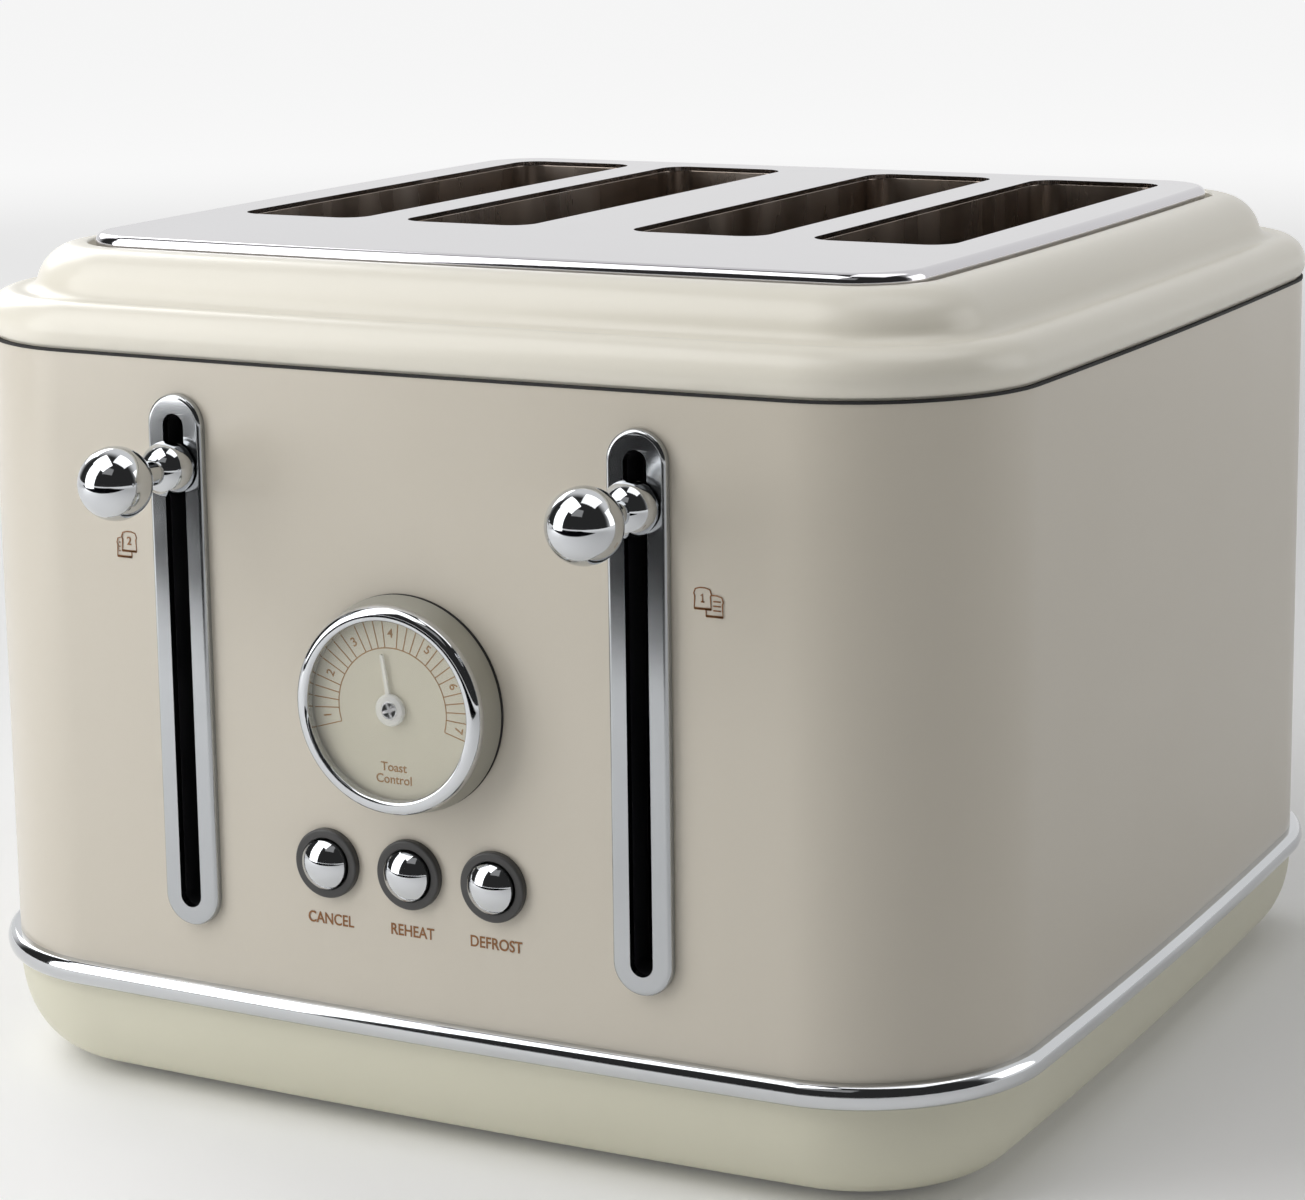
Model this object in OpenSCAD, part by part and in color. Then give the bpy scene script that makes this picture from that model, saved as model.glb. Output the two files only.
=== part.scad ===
// Four-slot pop up toaster, built as an assembly of separate pieces.
// +Z is up, the controls face -Y and +X is to the right of someone who faces them.
// The origin is on the surface that the feet stand on, at the middle of the whole box.

/* [Casing] */
// Width of the casing wall at its widest, without the trim band
body_w = 289; // [280:0.5:350]
// Depth of the casing wall at its deepest, without the trim band
body_d = 286; // [280:0.5:345]
// Corner radius of the casing in plan
corner_r = 42; // [39:1:50]
// How far the front and the back bulge at their middle
front_bow = 2.9; // [0:0.1:5]
// How far the sides bulge at their middle
side_bow = 3; // [0:0.1:5]
// Thickness of the steel casing wall
wall_t = 1.2; // [0.8:0.1:2]
// Height of the feet
foot_h = 2.2; // [2:0.1:5]
// Radius of a foot
foot_r = 9.5; // [7:0.5:11]
// Height of the bowl-shaped base from its underside to the band
base_h = 26; // [22:1:34]
// How far the underside of the base is drawn in
base_draw = 17; // [14:0.5:24]
// Wall of the moulded base
base_t = 2.5; // [2:0.1:4]
// Height of the trim band
band_h = 6.2; // [5:0.1:9]
// How far the trim band stands out
band_out = 3.4; // [2:0.1:5]
// From the underside of the band to the seam under the cap
wall_h = 165; // [160:1:200]
// Open seam between the casing and the cap
seam_gap = 0.6; // [0.3:0.1:1.2]

/* [Cap] */
// Radius of the lower bulge of the cap
bulge_r = 6.9; // [5:0.1:8]
// Radius of the hollow between the bulge and the shoulder
cove_r = 4; // [3:0.1:6]
// Radius of the upper shoulder
shoulder_r = 11.8; // [10:0.1:12]
// Wall of the cap
cap_t = 2; // [1.5:0.1:2.6]
// Open groove between the cap and the slot plate
plate_gap = 2; // [1:0.1:3]
// How far the slot plate stands above the crest of the cap
plate_rise = 2.4; // [1:0.1:4]
// Thickness of the slot plate
plate_t = 1.2; // [0.8:0.1:2]

/* [Bread slots] */
// Width of a bread slot
slot_w = 38; // [32:1:40]
// Length of a bread slot
slot_len = 158; // [130:0.5:160]
// Corner radius of a bread slot
slot_r = 7; // [3:0.5:10]
// Centre to centre of the two slots that share a lever
slot_pitch = 50.5; // [48:0.5:52]
// Metal between the two middle slots
slot_middle = 29; // [24:1:32]
// From the back of the casing to the back end of the slots
slot_back = 41; // [38:1:48]
// Depth of the slot liners under the plate
liner_h = 18; // [10:1:20]

/* [Levers] */
// Sideways place of each lever
lever_x = 63.4; // [62:0.2:66]
// Travel of the carriage from the raised place to the latch
travel = 100; // [80:0.5:104]
// Extra lift above the raised place
extra_lift = 9; // [4:1:9]
// Height of the raised lever above the underside of the band
lever_up = 138; // [130:1:150]
// Width of the lever slot
lever_slot_w = 6; // [5.8:0.1:7]
// Metal of the escutcheon on each side of its slot
escutcheon_rim = 4.75; // [4:0.05:6]
// Thickness of the escutcheon
escutcheon_t = 2.2; // [1.5:0.1:3]
// Radius of the lever stem
stem_r = 2.6; // [2.2:0.1:2.8]
// Radius of the ball knob
ball_r = 9; // [8:0.5:11]
// From the casing to the centre of the ball knob
ball_reach = 26.4; // [24:0.2:32]
// Radius of the collar at the root of the knob
collar_r = 6.75; // [5:0.25:7]
// Radius of a carriage guide rod
rod_r = 3; // [2.5:0.5:4]
// Radial clearance of a running fit
run_fit = 0.05; // [0.02:0.01:0.09]

/* [Dial] */
// Height of the dial above the underside of the band
dial_up = 84.9; // [80:0.5:95]
// Outer radius of the dial
dial_r = 25.5; // [21:0.1:27]
// Width of the bright rim of the dial
bezel_w = 3.6; // [3.2:0.1:5]
// How far the dial stands out
dial_out = 9.9; // [9:0.1:12]
// How much wider the dial's skirt is where it meets the wall
dial_flare = 1.3; // [0:0.1:2]
// Radius of the dial shaft
shaft_r = 3; // [2.5:0.1:3.5]
// Angle of the resting pointer, clockwise from straight up
pointer_angle = -9; // [-90:1:90]

/* [Buttons] */
// Height of the buttons above the underside of the band
button_up = 42.5; // [38:0.5:46]
// Centre to centre of the buttons
button_pitch = 23.3; // [20:0.1:26]
// Radius of a button
button_r = 6.1; // [5:0.1:7]
// Radius of the ring round a button
ring_r = 8.7; // [8:0.1:9.5]
// Travel of a button
button_travel = 2.5; // [1:0.1:3]

/* [Crumb trays] */
// Height of a crumb tray
tray_h = 13; // [10:1:13]
// Wall of a crumb tray
tray_t = 1; // [0.8:0.1:1.5]

/* [Hidden] */

// Places that several pieces share, measured from the middle of the casing
half_w = body_w / 2;
half_d = body_d / 2;
band_z = foot_h + base_h;
seam_z = band_z + wall_h;
joint_z = band_z + band_h / 2;
floor_t = 1.2;
floor_z = band_z + band_h - floor_t;
sheet_t = 1.2;

// Heights inside the cap: three arcs that touch, seen as u outwards and v up from the seam
cap_overhang = 0.7;
bulge_lift = 0.55;
bulge_c = [cap_overhang - bulge_r, bulge_r * bulge_lift];
shoulder_c = [-23.5, 10.2];
cap_axis = shoulder_c - bulge_c;
cap_axis_len = norm(cap_axis);
cove_from_bulge = bulge_r + cove_r;
cove_from_shoulder = shoulder_r + cove_r;
cove_along = (pow(cove_from_bulge, 2) - pow(cove_from_shoulder, 2) + pow(cap_axis_len, 2))
    / (2 * cap_axis_len);
cove_off = sqrt(pow(cove_from_bulge, 2) - pow(cove_along, 2));
cap_dir = cap_axis / cap_axis_len;
cove_c = bulge_c + cove_along * cap_dir + cove_off * [cap_dir[1], -cap_dir[0]];
bulge_end = atan2(cove_c[1] - bulge_c[1], cove_c[0] - bulge_c[0]);
shoulder_start = atan2(cove_c[1] - shoulder_c[1], cove_c[0] - shoulder_c[0]);
crest_v = shoulder_c[1] + shoulder_r;
rim_top = 1.8;
rim_u = shoulder_c[0] - rim_top;
plate_u = rim_u - plate_gap;
plate_z = seam_z + crest_v + plate_rise;
plate_rim = 5;
ledge_v = crest_v + plate_rise - plate_rim;
ledge_in = 8;
flange_h = 6;

// Bread wells
slot_x = [for (s = [-1, 1], k = [0, 1]) s * (slot_middle / 2 + slot_w / 2 + k * slot_pitch)];
inner_slot = slot_middle / 2 + slot_w / 2;
slot_y1 = half_d - slot_back;
slot_y0 = slot_y1 - slot_len;
liner_t = 0.8;
front_y = slot_y0 - 4;
rear_y = slot_y1 + 4;
board_t = 1;
board_off = slot_pitch / 2;
board_up = 20;
board_down = 5;
board_z0 = floor_z + board_up;
board_z1 = plate_z - liner_h - board_down;
well_half = inner_slot + slot_pitch + board_off;
shield_gap = 10;
shield_x = well_half + shield_gap;
chassis_top = board_z1;

// Bread guards
guard_r = 1;
guard_gap = 17.5;
guard_travel = 4.5;
guard_z0 = board_z0 + 4;
guard_z1 = board_z1 - 1;
guard_tab = 4;
guard_rail_h = 5;

// Carriages and racks
lever_z = band_z + lever_up;
rack_bar_h = 6;
rack_bar_t = 1.5;
rack_finger_t = 1.5;
rack_half = 11.5;
rack_z = lever_z - 10;
lift_slack = 1.5;
carriage_h = 24;
carriage_z = lever_z - carriage_h / 2;
plate_back = front_y - sheet_t - 16;
block_back = plate_back - 2;
block_front = block_back - 18;
rod_x = lever_x - 13.4;
rod_y = block_back - 9;
spring_x = lever_x + 17;
spring_y = block_back - 9;
spring_r = 4;
spring_wire = 0.55;
lug_z = carriage_z + 1;
latch_t = 2;
latch_gap = 0.3;
magnet_z = carriage_z - latch_t - travel - latch_gap;

// Front details
esc_w = lever_slot_w + 2 * escutcheon_rim;
esc_y = face_y(lever_x - esc_w / 2);
slot_top = lever_z + extra_lift + stem_r + lift_slack;
slot_below = 7.8;
slot_bottom = lever_z - travel - stem_r - lift_slack - slot_below;
shroud_rim = 1.3;
shroud_depth = 8;
dial_z = band_z + dial_up;
button_z = band_z + button_up;
board_in = 22;
board_y = -half_d + board_in;
pcb_t = 1.6;

// Trays
tray_gap = 0.3;
tray_z = floor_z + floor_t + tray_gap;
tray_x0 = 5;
tray_x1 = well_half + 4;
tray_y0 = front_y + 2;
tray_y1 = face_back(tray_x1) - wall_t - 0.4;
pull_out = 9;
pull_w = 40;

// The knobs reach out in front and the tray pulls behind, so the casing sits off the origin
reach_front = -esc_y + ball_reach + ball_r;
reach_back = tray_y1 + pull_out;
body_y = (reach_front - reach_back) / 2;

function arc(c, r, a0, a1, n) = [
    for (i = [0:n])
        let (a = a0 + (a1 - a0) * i / n)
        c + r * [cos(a), sin(a)]
];
function face_y(x) = -half_d + front_bow * pow(x / half_w, 2);
function face_back(x) = -face_y(x);

// Plan of the casing: points with their outward direction, anticlockwise from the right
corner_steps = 12;
side_steps = 6;
function bowed(x, y) = [
    x - sign(x) * side_bow * pow(y / half_d, 2),
    y - sign(y) * front_bow * pow(x / half_w, 2)
];
function corner_sign(c) = [(c == 0 || c == 3) ? 1 : -1, (c < 2) ? 1 : -1];
function corner_centre(c) = [
    corner_sign(c)[0] * (half_w - corner_r),
    corner_sign(c)[1] * (half_d - corner_r)
];
function on_corner(c, a) = corner_centre(c) + corner_r * [cos(a), sin(a)];
STATIONS = [
    for (c = [0:3])
        for (i = [0:corner_steps + side_steps - 1])
            let (a = 90 * c + min(i / corner_steps, 1) * 90)
            let (t = max(i - corner_steps, 0) / side_steps)
            let (p = (1 - t) * on_corner(c, a) + t * on_corner((c + 1) % 4, 90 * c + 90))
            [bowed(p[0], p[1]), [cos(a), sin(a)]]
];
SIDES = len(STATIONS);
function plan(u) = [for (s = STATIONS) s[0] + u * s[1]];

// A closed profile of [u, z] points carried once round the plan
module sweep(profile) {
    n = len(profile);
    points = [for (s = STATIONS, p = profile) [s[0][0] + p[0] * s[1][0], s[0][1] + p[0] * s[1][1], p[1]]];
    faces = [
        for (k = [0:SIDES - 1], i = [0:n - 1])
            let (a = k * n + i, b = k * n + (i + 1) % n)
            let (c = ((k + 1) % SIDES) * n + (i + 1) % n, d = ((k + 1) % SIDES) * n + i)
            each [[a, b, c], [a, c, d]]
    ];
    polyhedron(points, faces);
}

// A flat sheet that fills the plan, moved out by u
module sheet(u, z, t) {
    translate([0, 0, z]) linear_extrude(t) polygon(plan(u));
}

// Everything is modelled about the middle of the casing and then set on the frame
module placed() {
    translate([0, body_y, 0]) children();
}

module box(x, y, z) {
    translate([x[0], y[0], z[0]]) cube([x[1] - x[0], y[1] - y[0], z[1] - z[0]]);
}

// A box on the left or on the right: its x limits are counted outwards from the middle
module side_box(s, x, y, z) {
    box(s > 0 ? x : [-x[1], -x[0]], y, z);
}

// A bar with round ends that stands up, from z0 to z1, extruded from y0 to y1
module stadium(w, z0, z1, y0, y1) {
    r = w / 2;
    translate([0, y1, 0]) rotate([90, 0, 0]) linear_extrude(y1 - y0) {
        translate([-r, z0 + r]) square([w, z1 - z0 - w]);
        translate([0, z0 + r]) circle(r, $fn = 48);
        translate([0, z1 - r]) circle(r, $fn = 48);
    }
}

// A cylinder along Y
module rod_along_y(r, y0, y1) {
    translate([0, y1, 0]) rotate([90, 0, 0]) cylinder(h = y1 - y0, r = r, $fn = 64);
}

// A turned shape about Y: points are [radius, distance out from the casing]
module turned(points) {
    translate([0, -half_d, 0]) rotate([90, 0, 0]) rotate_extrude($fn = 96) polygon(points);
}

module round_rect(w, d, r) {
    square([w - 2 * r, d], center = true);
    square([w, d - 2 * r], center = true);
    for (x = [-1, 1], y = [-1, 1]) translate([x * (w / 2 - r), y * (d / 2 - r)]) circle(r, $fn = 48);
}

// --- Casing ---

base_draw_steps = 8;
base_round_h = base_h - 2;
base_step = 2;
base_ledge = 8;
function bowl(inset, z_up) = [
    for (i = [0:base_draw_steps])
        let (a = 90 * i / base_draw_steps)
        [-(base_draw - inset) * (1 - cos(a)) - inset, foot_h + z_up + (base_round_h - z_up) * (1 - sin(a))]
];

module base_shell() {
    outer = bowl(0, 0);
    inner = bowl(base_t, base_t + base_step);
    top = joint_z;
    lip = -base_draw - base_step;
    color([0.83, 0.82, 0.76]) placed() sweep(concat(
        [[0, top]],
        outer,
        [[lip, foot_h], [lip, foot_h + base_step]],
        [[lip - base_ledge, foot_h + base_step], [lip - base_ledge, foot_h + base_step + base_t]],
        [for (i = [len(inner) - 1:-1:0]) inner[i]],
        [[-base_t, top]]
    ));
}

screw_r = 2;
foot_x = half_w - corner_r + 3;
foot_y = half_d - corner_r + 3;
module at_feet() {
    for (x = [-1, 1], y = [-1, 1]) translate([x * foot_x, y * foot_y, 0]) children();
}

post_x = half_w - corner_r - 14;
post_y = half_d - corner_r - 2;
post_r = 5;
module at_posts() {
    for (x = [-1, 1], y = [-1, 1]) translate([x * post_x, y * post_y, 0]) children();
}

vent_count = 9;
vent_pitch = 16;
module bottom_plate() {
    color([0.55, 0.55, 0.53]) placed() difference() {
        sheet(-base_draw - base_step - 0.2, foot_h, base_step);
        for (i = [0:vent_count - 1], s = [-1, 1])
            translate([s * 45, (i - (vent_count - 1) / 2) * vent_pitch, foot_h - 1])
                linear_extrude(base_step + 2) round_rect(52, 5, 2.4);
        at_feet() translate([0, 0, foot_h - 1]) cylinder(h = base_step + 2, r = screw_r, $fn = 32);
    }
}

foot_head_r = 4;
foot_recess = 0.6;
module feet() {
    color([0.16, 0.16, 0.16]) placed() at_feet() difference() {
        cylinder(h = foot_h, r1 = foot_r - 1.5, r2 = foot_r, $fn = 64);
        translate([0, 0, -1]) cylinder(h = foot_h + 2, r = screw_r, $fn = 32);
        translate([0, 0, -1]) cylinder(h = 1 + foot_recess + 1, r = foot_head_r, $fn = 32);
    }
}

module foot_screws() {
    color("silver") placed() at_feet() {
        translate([0, 0, foot_recess]) cylinder(h = 1, r = foot_head_r - 0.4, $fn = 32);
        translate([0, 0, foot_recess + 1]) cylinder(h = foot_h + base_step, r = screw_r, $fn = 32);
    }
}

module chrome_band() {
    r = band_h / 2;
    color([0.85, 0.86, 0.88]) placed() sweep(concat(
        [[0, band_z + band_h], [0, band_z]],
        [for (a = [-75:25:75]) [band_out * (0.35 + 0.65 * cos(a)), band_z + r + r * sin(a)]]
    ));
}

module lever_cut(s, grow, y0, y1) {
    translate([s * lever_x, 0, 0])
        stadium(lever_slot_w + 2 * grow, slot_bottom - grow, slot_top + grow, y0, y1);
}

boss_r = 11;
inlet_r = 8;
inlet_up = 34;
inlet_gap = 0.1;
inlet_z = floor_z + inlet_up;
module body_shell() {
    color([0.80, 0.77, 0.71]) placed() difference() {
        sheet(0, joint_z, seam_z - seam_gap - joint_z);
        sheet(-wall_t, joint_z - 1, wall_h + 2);
        for (s = [-1, 1]) lever_cut(s, shroud_rim, -half_d - 5, -half_d + 6);
        translate([0, 0, dial_z]) rod_along_y(boss_r, -half_d - 5, -half_d + 5);
        for (k = [-1:1])
            translate([k * button_pitch, 0, button_z])
                rod_along_y(button_r + 0.4, -half_d - 5, -half_d + 5);
        for (s = [-1, 1])
            side_box(s, [tray_x0 - 0.6, tray_x1 + 0.6], [half_d - 8, half_d + 5],
                [tray_z - tray_gap, tray_z + tray_h + 2.6]);
        translate([0, 0, inlet_z]) rod_along_y(inlet_r, half_d - 5, half_d + 5);
    }
}

module top_cap() {
    outline = concat(
        arc(bulge_c, bulge_r, -32, bulge_end, 7),
        [for (a = [1:3]) cove_c + cove_r * [cos(bulge_end + 180 + (shoulder_start - bulge_end) * a / 4),
            sin(bulge_end + 180 + (shoulder_start - bulge_end) * a / 4)]],
        arc(shoulder_c, shoulder_r, shoulder_start, 90, 6)
    );
    inside = concat(
        [[shoulder_c[0], crest_v - cap_t]],
        arc(shoulder_c, shoulder_r - cap_t, 60, shoulder_start, 2),
        [cove_c + (cove_r + cap_t) * [cos(bulge_end + 180 + (shoulder_start - bulge_end) / 2),
            sin(bulge_end + 180 + (shoulder_start - bulge_end) / 2)]],
        arc(bulge_c, bulge_r - cap_t, bulge_end, 30, 2)
    );
    profile = concat(
        outline,
        [[rim_u, crest_v - 0.5], [rim_u, ledge_v], [rim_u - ledge_in, ledge_v]],
        [[rim_u - ledge_in, ledge_v - cap_t], [rim_u + cap_t, ledge_v - cap_t]],
        [[rim_u + cap_t, crest_v - cap_t - 0.5]],
        inside,
        [[-wall_t - cap_t, 2], [-wall_t - cap_t, -flange_h], [-wall_t, -flange_h], [-wall_t, 0]]
    );
    color([0.84, 0.81, 0.75]) placed() translate([0, 0, seam_z]) sweep(profile);
}

module slot_plate() {
    color([0.80, 0.80, 0.82]) placed() difference() {
        sheet(plate_u, plate_z - plate_rim, plate_rim);
        sheet(plate_u - 1.2, plate_z - plate_rim - 1, plate_rim + 1 - plate_t);
        for (x = slot_x)
            translate([x, (slot_y0 + slot_y1) / 2, plate_z - plate_t - 1])
                linear_extrude(plate_t + 2) round_rect(slot_w, slot_len, slot_r);
    }
}

module slot_liners() {
    color([0.45, 0.33, 0.24]) placed()
        for (x = slot_x)
            translate([x, (slot_y0 + slot_y1) / 2, plate_z - plate_t - liner_h]) linear_extrude(liner_h)
                difference() {
                    round_rect(slot_w + 2 * liner_t, slot_len + 2 * liner_t, slot_r + liner_t);
                    round_rect(slot_w, slot_len, slot_r);
                }
}

// --- Chassis ---

module chassis_floor() {
    color([0.62, 0.62, 0.62]) placed() difference() {
        sheet(-wall_t, floor_z, floor_t);
        for (s = [-1, 1])
            side_box(s, [30, 80], [front_y + 30, rear_y - 30], [floor_z - 1, floor_z + floor_t + 1]);
    }
}

module chassis_posts() {
    color([0.3, 0.3, 0.3]) placed() at_posts()
        translate([0, 0, foot_h + base_step])
            cylinder(h = floor_z - foot_h - base_step, r = post_r, $fn = 48);
}

// Windows in the end walls for the ends of the guard rails
module guard_windows(y0, y1) {
    for (x = slot_x, s = [-1, 1], z = [guard_z0, guard_z1 - guard_rail_h])
        box(s > 0 ? [x + guard_gap - guard_travel - 0.6, x + guard_gap + 2 * guard_r + 0.6]
                : [x - guard_gap - 2 * guard_r - 0.6, x - guard_gap + guard_travel + 0.6],
            [y0, y1], [z - 0.4, z + guard_rail_h + 0.4]);
}

// Upright slots in the end walls for the rack bars
module rack_windows(y0, y1) {
    for (x = slot_x)
        box([x - rack_bar_t / 2 - 0.7, x + rack_bar_t / 2 + 0.7], [y0, y1],
            [rack_z - rack_finger_t - rack_bar_h - travel - 1, rack_z + extra_lift + 1]);
}

hanger_w = 30;
hanger_z = chassis_top;
module chassis_front() {
    y0 = front_y - sheet_t;
    color([0.7, 0.7, 0.7]) placed() {
        difference() {
            box([-shield_x, shield_x], [y0, front_y], [floor_z + floor_t, chassis_top]);
            guard_windows(y0 - 1, front_y + 1);
            rack_windows(y0 - 1, front_y + 1);
        }
        for (s = [-1, 1])
            side_box(s, [rod_x - 8, spring_x + 8], [rod_y - 8, front_y], [hanger_z, hanger_z + sheet_t]);
    }
}

module chassis_rear() {
    color([0.7, 0.7, 0.7]) placed() difference() {
        box([-shield_x, shield_x], [rear_y, rear_y + sheet_t], [floor_z + floor_t, chassis_top]);
        guard_windows(rear_y - 1, rear_y + sheet_t + 1);
        rack_windows(rear_y - 1, rear_y + sheet_t + 1);
        for (s = [-1, 1])
            side_box(s, [tray_x0 - 1, tray_x1 + 1], [rear_y - 1, rear_y + sheet_t + 1],
                [floor_z, tray_z + tray_h + 1]);
    }
}

module chassis_divider() {
    color([0.7, 0.7, 0.7]) placed()
        box([-sheet_t / 2, sheet_t / 2], [front_y, rear_y], [floor_z + floor_t, chassis_top]);
}

module heat_shields() {
    color([0.75, 0.75, 0.76]) placed()
        for (s = [-1, 1])
            side_box(s, [shield_x - sheet_t, shield_x], [front_y, rear_y],
                [floor_z + floor_t, chassis_top]);
}

board_x = [for (s = [-1, 1], k = [0:2]) s * (inner_slot - board_off + k * slot_pitch)];
module mica_boards() {
    color([0.72, 0.66, 0.52]) placed()
        for (x = board_x)
            box([x - board_t / 2, x + board_t / 2], [front_y, rear_y], [board_z0, board_z1]);
}

wire_count = 11;
wire_h = 1.6;
wire_t = 0.4;
module heating_wires() {
    pitch = (board_z1 - board_z0 - 16) / (wire_count - 1);
    color([0.42, 0.36, 0.32]) placed()
        for (x = slot_x, side = [-1, 1], i = [0:wire_count - 1])
            let (xw = x + side * (board_off - board_t / 2), z = board_z0 + 8 + i * pitch)
            box(side > 0 ? [xw - wire_t, xw] : [xw, xw + wire_t], [front_y + 6, rear_y - 6],
                [z - wire_h / 2, z + wire_h / 2]);
}

// --- Bread guards ---

guard_wires = 9;
module guard(x) {
    span = slot_len - 16;
    for (z = [guard_z0, guard_z1 - guard_rail_h])
        box([x - guard_r, x + guard_r], [front_y - guard_tab + 1, rear_y + guard_tab - 1],
            [z, z + guard_rail_h]);
    for (i = [0:guard_wires - 1])
        translate([x, slot_y0 + 8 + span * i / (guard_wires - 1), guard_z0 + guard_rail_h - 1])
            cylinder(h = guard_z1 - guard_z0 - 2 * guard_rail_h + 2, r = guard_r - 0.1, $fn = 16);
}

// The guards of one pair of slots that stand on the same side of their slots
module guard_set(pair, side) {
    color([0.66, 0.66, 0.66]) placed()
        for (k = [0, 1])
            guard(pair * (inner_slot + k * slot_pitch) + side * (guard_gap + guard_r));
}

module left_guards_left() { guard_set(-1, -1); }
module left_guards_right() { guard_set(-1, 1); }
module right_guards_left() { guard_set(1, -1); }
module right_guards_right() { guard_set(1, 1); }

// --- Carriages, racks and levers ---

module carriage(s) {
    color([0.6, 0.6, 0.62]) placed() difference() {
        union() {
            side_box(s, [rod_x - 7, lever_x + 6], [block_front, block_back],
                [carriage_z, carriage_z + carriage_h]);
            side_box(s, [inner_slot - 4, inner_slot + slot_pitch + 4], [block_back, plate_back],
                [carriage_z, carriage_z + carriage_h]);
            side_box(s, [lever_x + 6, spring_x + 6], [spring_y - 5, block_back], [lug_z - 1.5, lug_z]);
        }
        translate([s * rod_x, rod_y, carriage_z - 1])
            cylinder(h = carriage_h + 2, r = rod_r + run_fit, $fn = 64);
        translate([s * lever_x, 0, lever_z]) rod_along_y(stem_r - 0.6, block_front - 1, block_front + 10);
    }
}
module left_carriage() { carriage(-1); }
module right_carriage() { carriage(1); }

finger_count = 9;
module racks(s) {
    z1 = rack_z - rack_finger_t;
    span = slot_len - 20;
    color([0.58, 0.58, 0.58]) placed()
        for (k = [0, 1])
            let (x = s * (inner_slot + k * slot_pitch)) {
                box([x - rack_bar_t / 2, x + rack_bar_t / 2], [plate_back, rear_y + sheet_t + 3],
                    [z1 - rack_bar_h, z1]);
                box([x - 2.5, x + 2.5], [slot_y0 + 4, slot_y1 - 4], [z1, rack_z]);
                for (i = [0:finger_count - 1])
                    let (y = slot_y0 + 10 + span * i / (finger_count - 1))
                    box([x - rack_half, x + rack_half], [y - 2, y + 2], [z1, rack_z]);
            }
}
module left_racks() { racks(-1); }
module right_racks() { racks(1); }

collar_c = 5;
collar_back = escutcheon_t + 0.6;
neck_r = 3.2;
module stem(s) {
    color([0.85, 0.86, 0.88]) placed() translate([s * lever_x, 0, lever_z]) {
        rod_along_y(stem_r, esc_y - collar_back, block_front);
        rod_along_y(stem_r - 0.6, block_front - 1, block_front + 9);
        difference() {
            translate([0, esc_y - collar_c, 0]) rotate([90, 0, 0]) sphere(collar_r, $fn = 64);
            rod_along_y(collar_r + 1, esc_y - collar_back, esc_y + 10);
        }
        rod_along_y(neck_r, esc_y - ball_reach + ball_r - 2, esc_y - collar_c);
    }
}
module left_stem() { stem(-1); }
module right_stem() { stem(1); }

module ball_knob(s) {
    color([0.88, 0.89, 0.9]) placed() translate([s * lever_x, 0, lever_z]) difference() {
        translate([0, esc_y - ball_reach, 0]) rotate([90, 0, 0]) sphere(ball_r, $fn = 96);
        rod_along_y(neck_r, esc_y - ball_reach + ball_r - 2, esc_y);
    }
}
module left_ball_knob() { ball_knob(-1); }
module right_ball_knob() { ball_knob(1); }

module latch_plate(s) {
    color([0.5, 0.5, 0.5]) placed()
        side_box(s, [lever_x - 5, lever_x + 6], [block_front + 1, block_back - 1],
            [carriage_z - latch_t, carriage_z]);
}
module left_latch_plate() { latch_plate(-1); }
module right_latch_plate() { latch_plate(1); }

module guide_rods() {
    color("silver") placed()
        for (s = [-1, 1])
            translate([s * rod_x, rod_y, floor_z + floor_t])
                cylinder(h = hanger_z - floor_z - floor_t, r = rod_r, $fn = 64);
}

// Coil of round wire from z0 to z1: rings of points along a helix
coil_sides = 6;
coil_steps = 12;
coil_turns = 11;
module coil(r, wire, z0, z1) {
    n = coil_turns * coil_steps;
    rise = (z1 - z0 - 2 * wire) / n;
    points = [
        for (i = [0:n], j = [0:coil_sides - 1])
            let (a = 360 * i / coil_steps, b = 360 * j / coil_sides)
            [(r + wire * cos(b)) * cos(a), (r + wire * cos(b)) * sin(a), z0 + wire + i * rise + wire * sin(b)]
    ];
    tube = [
        for (i = [0:n - 1], j = [0:coil_sides - 1])
            let (a = i * coil_sides + j, b = i * coil_sides + (j + 1) % coil_sides)
            each [[a, b, b + coil_sides], [a, b + coil_sides, a + coil_sides]]
    ];
    start = [[for (j = [coil_sides - 1:-1:0]) j]];
    end = [[for (j = [0:coil_sides - 1]) n * coil_sides + j]];
    polyhedron(points, concat(tube, start, end));
}

module return_spring(s) {
    color("silver") placed() translate([s * spring_x, spring_y, 0])
        coil(spring_r, spring_wire, lug_z, hanger_z);
}
module left_return_spring() { return_spring(-1); }
module right_return_spring() { return_spring(1); }

core_z = floor_z + floor_t;
module magnet_cores() {
    color([0.45, 0.45, 0.46]) placed()
        for (s = [-1, 1]) {
            side_box(s, [lever_x - 9, lever_x + 10], [block_front + 3, block_back - 3],
                [core_z, core_z + 2]);
            side_box(s, [lever_x - 3.5, lever_x + 4.5], [block_front + 5, block_back - 5],
                [core_z + 2, magnet_z]);
        }
}

module magnet_coils() {
    color([0.72, 0.42, 0.22]) placed()
        for (s = [-1, 1])
            difference() {
                side_box(s, [lever_x - 6.5, lever_x + 7.5], [block_front + 3, block_back - 3],
                    [core_z + 2, magnet_z - 2]);
                side_box(s, [lever_x - 3.5, lever_x + 4.5], [block_front + 5, block_back - 5],
                    [core_z + 1, magnet_z]);
            }
}

module escutcheon(s) {
    color([0.82, 0.83, 0.85]) placed() difference() {
        translate([s * lever_x, 0, 0])
            stadium(esc_w, slot_bottom - escutcheon_rim, slot_top + escutcheon_rim,
                esc_y - escutcheon_t, esc_y);
        lever_cut(s, 0, esc_y - 10, esc_y + 10);
    }
}
module left_escutcheon() { escutcheon(-1); }
module right_escutcheon() { escutcheon(1); }

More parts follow.
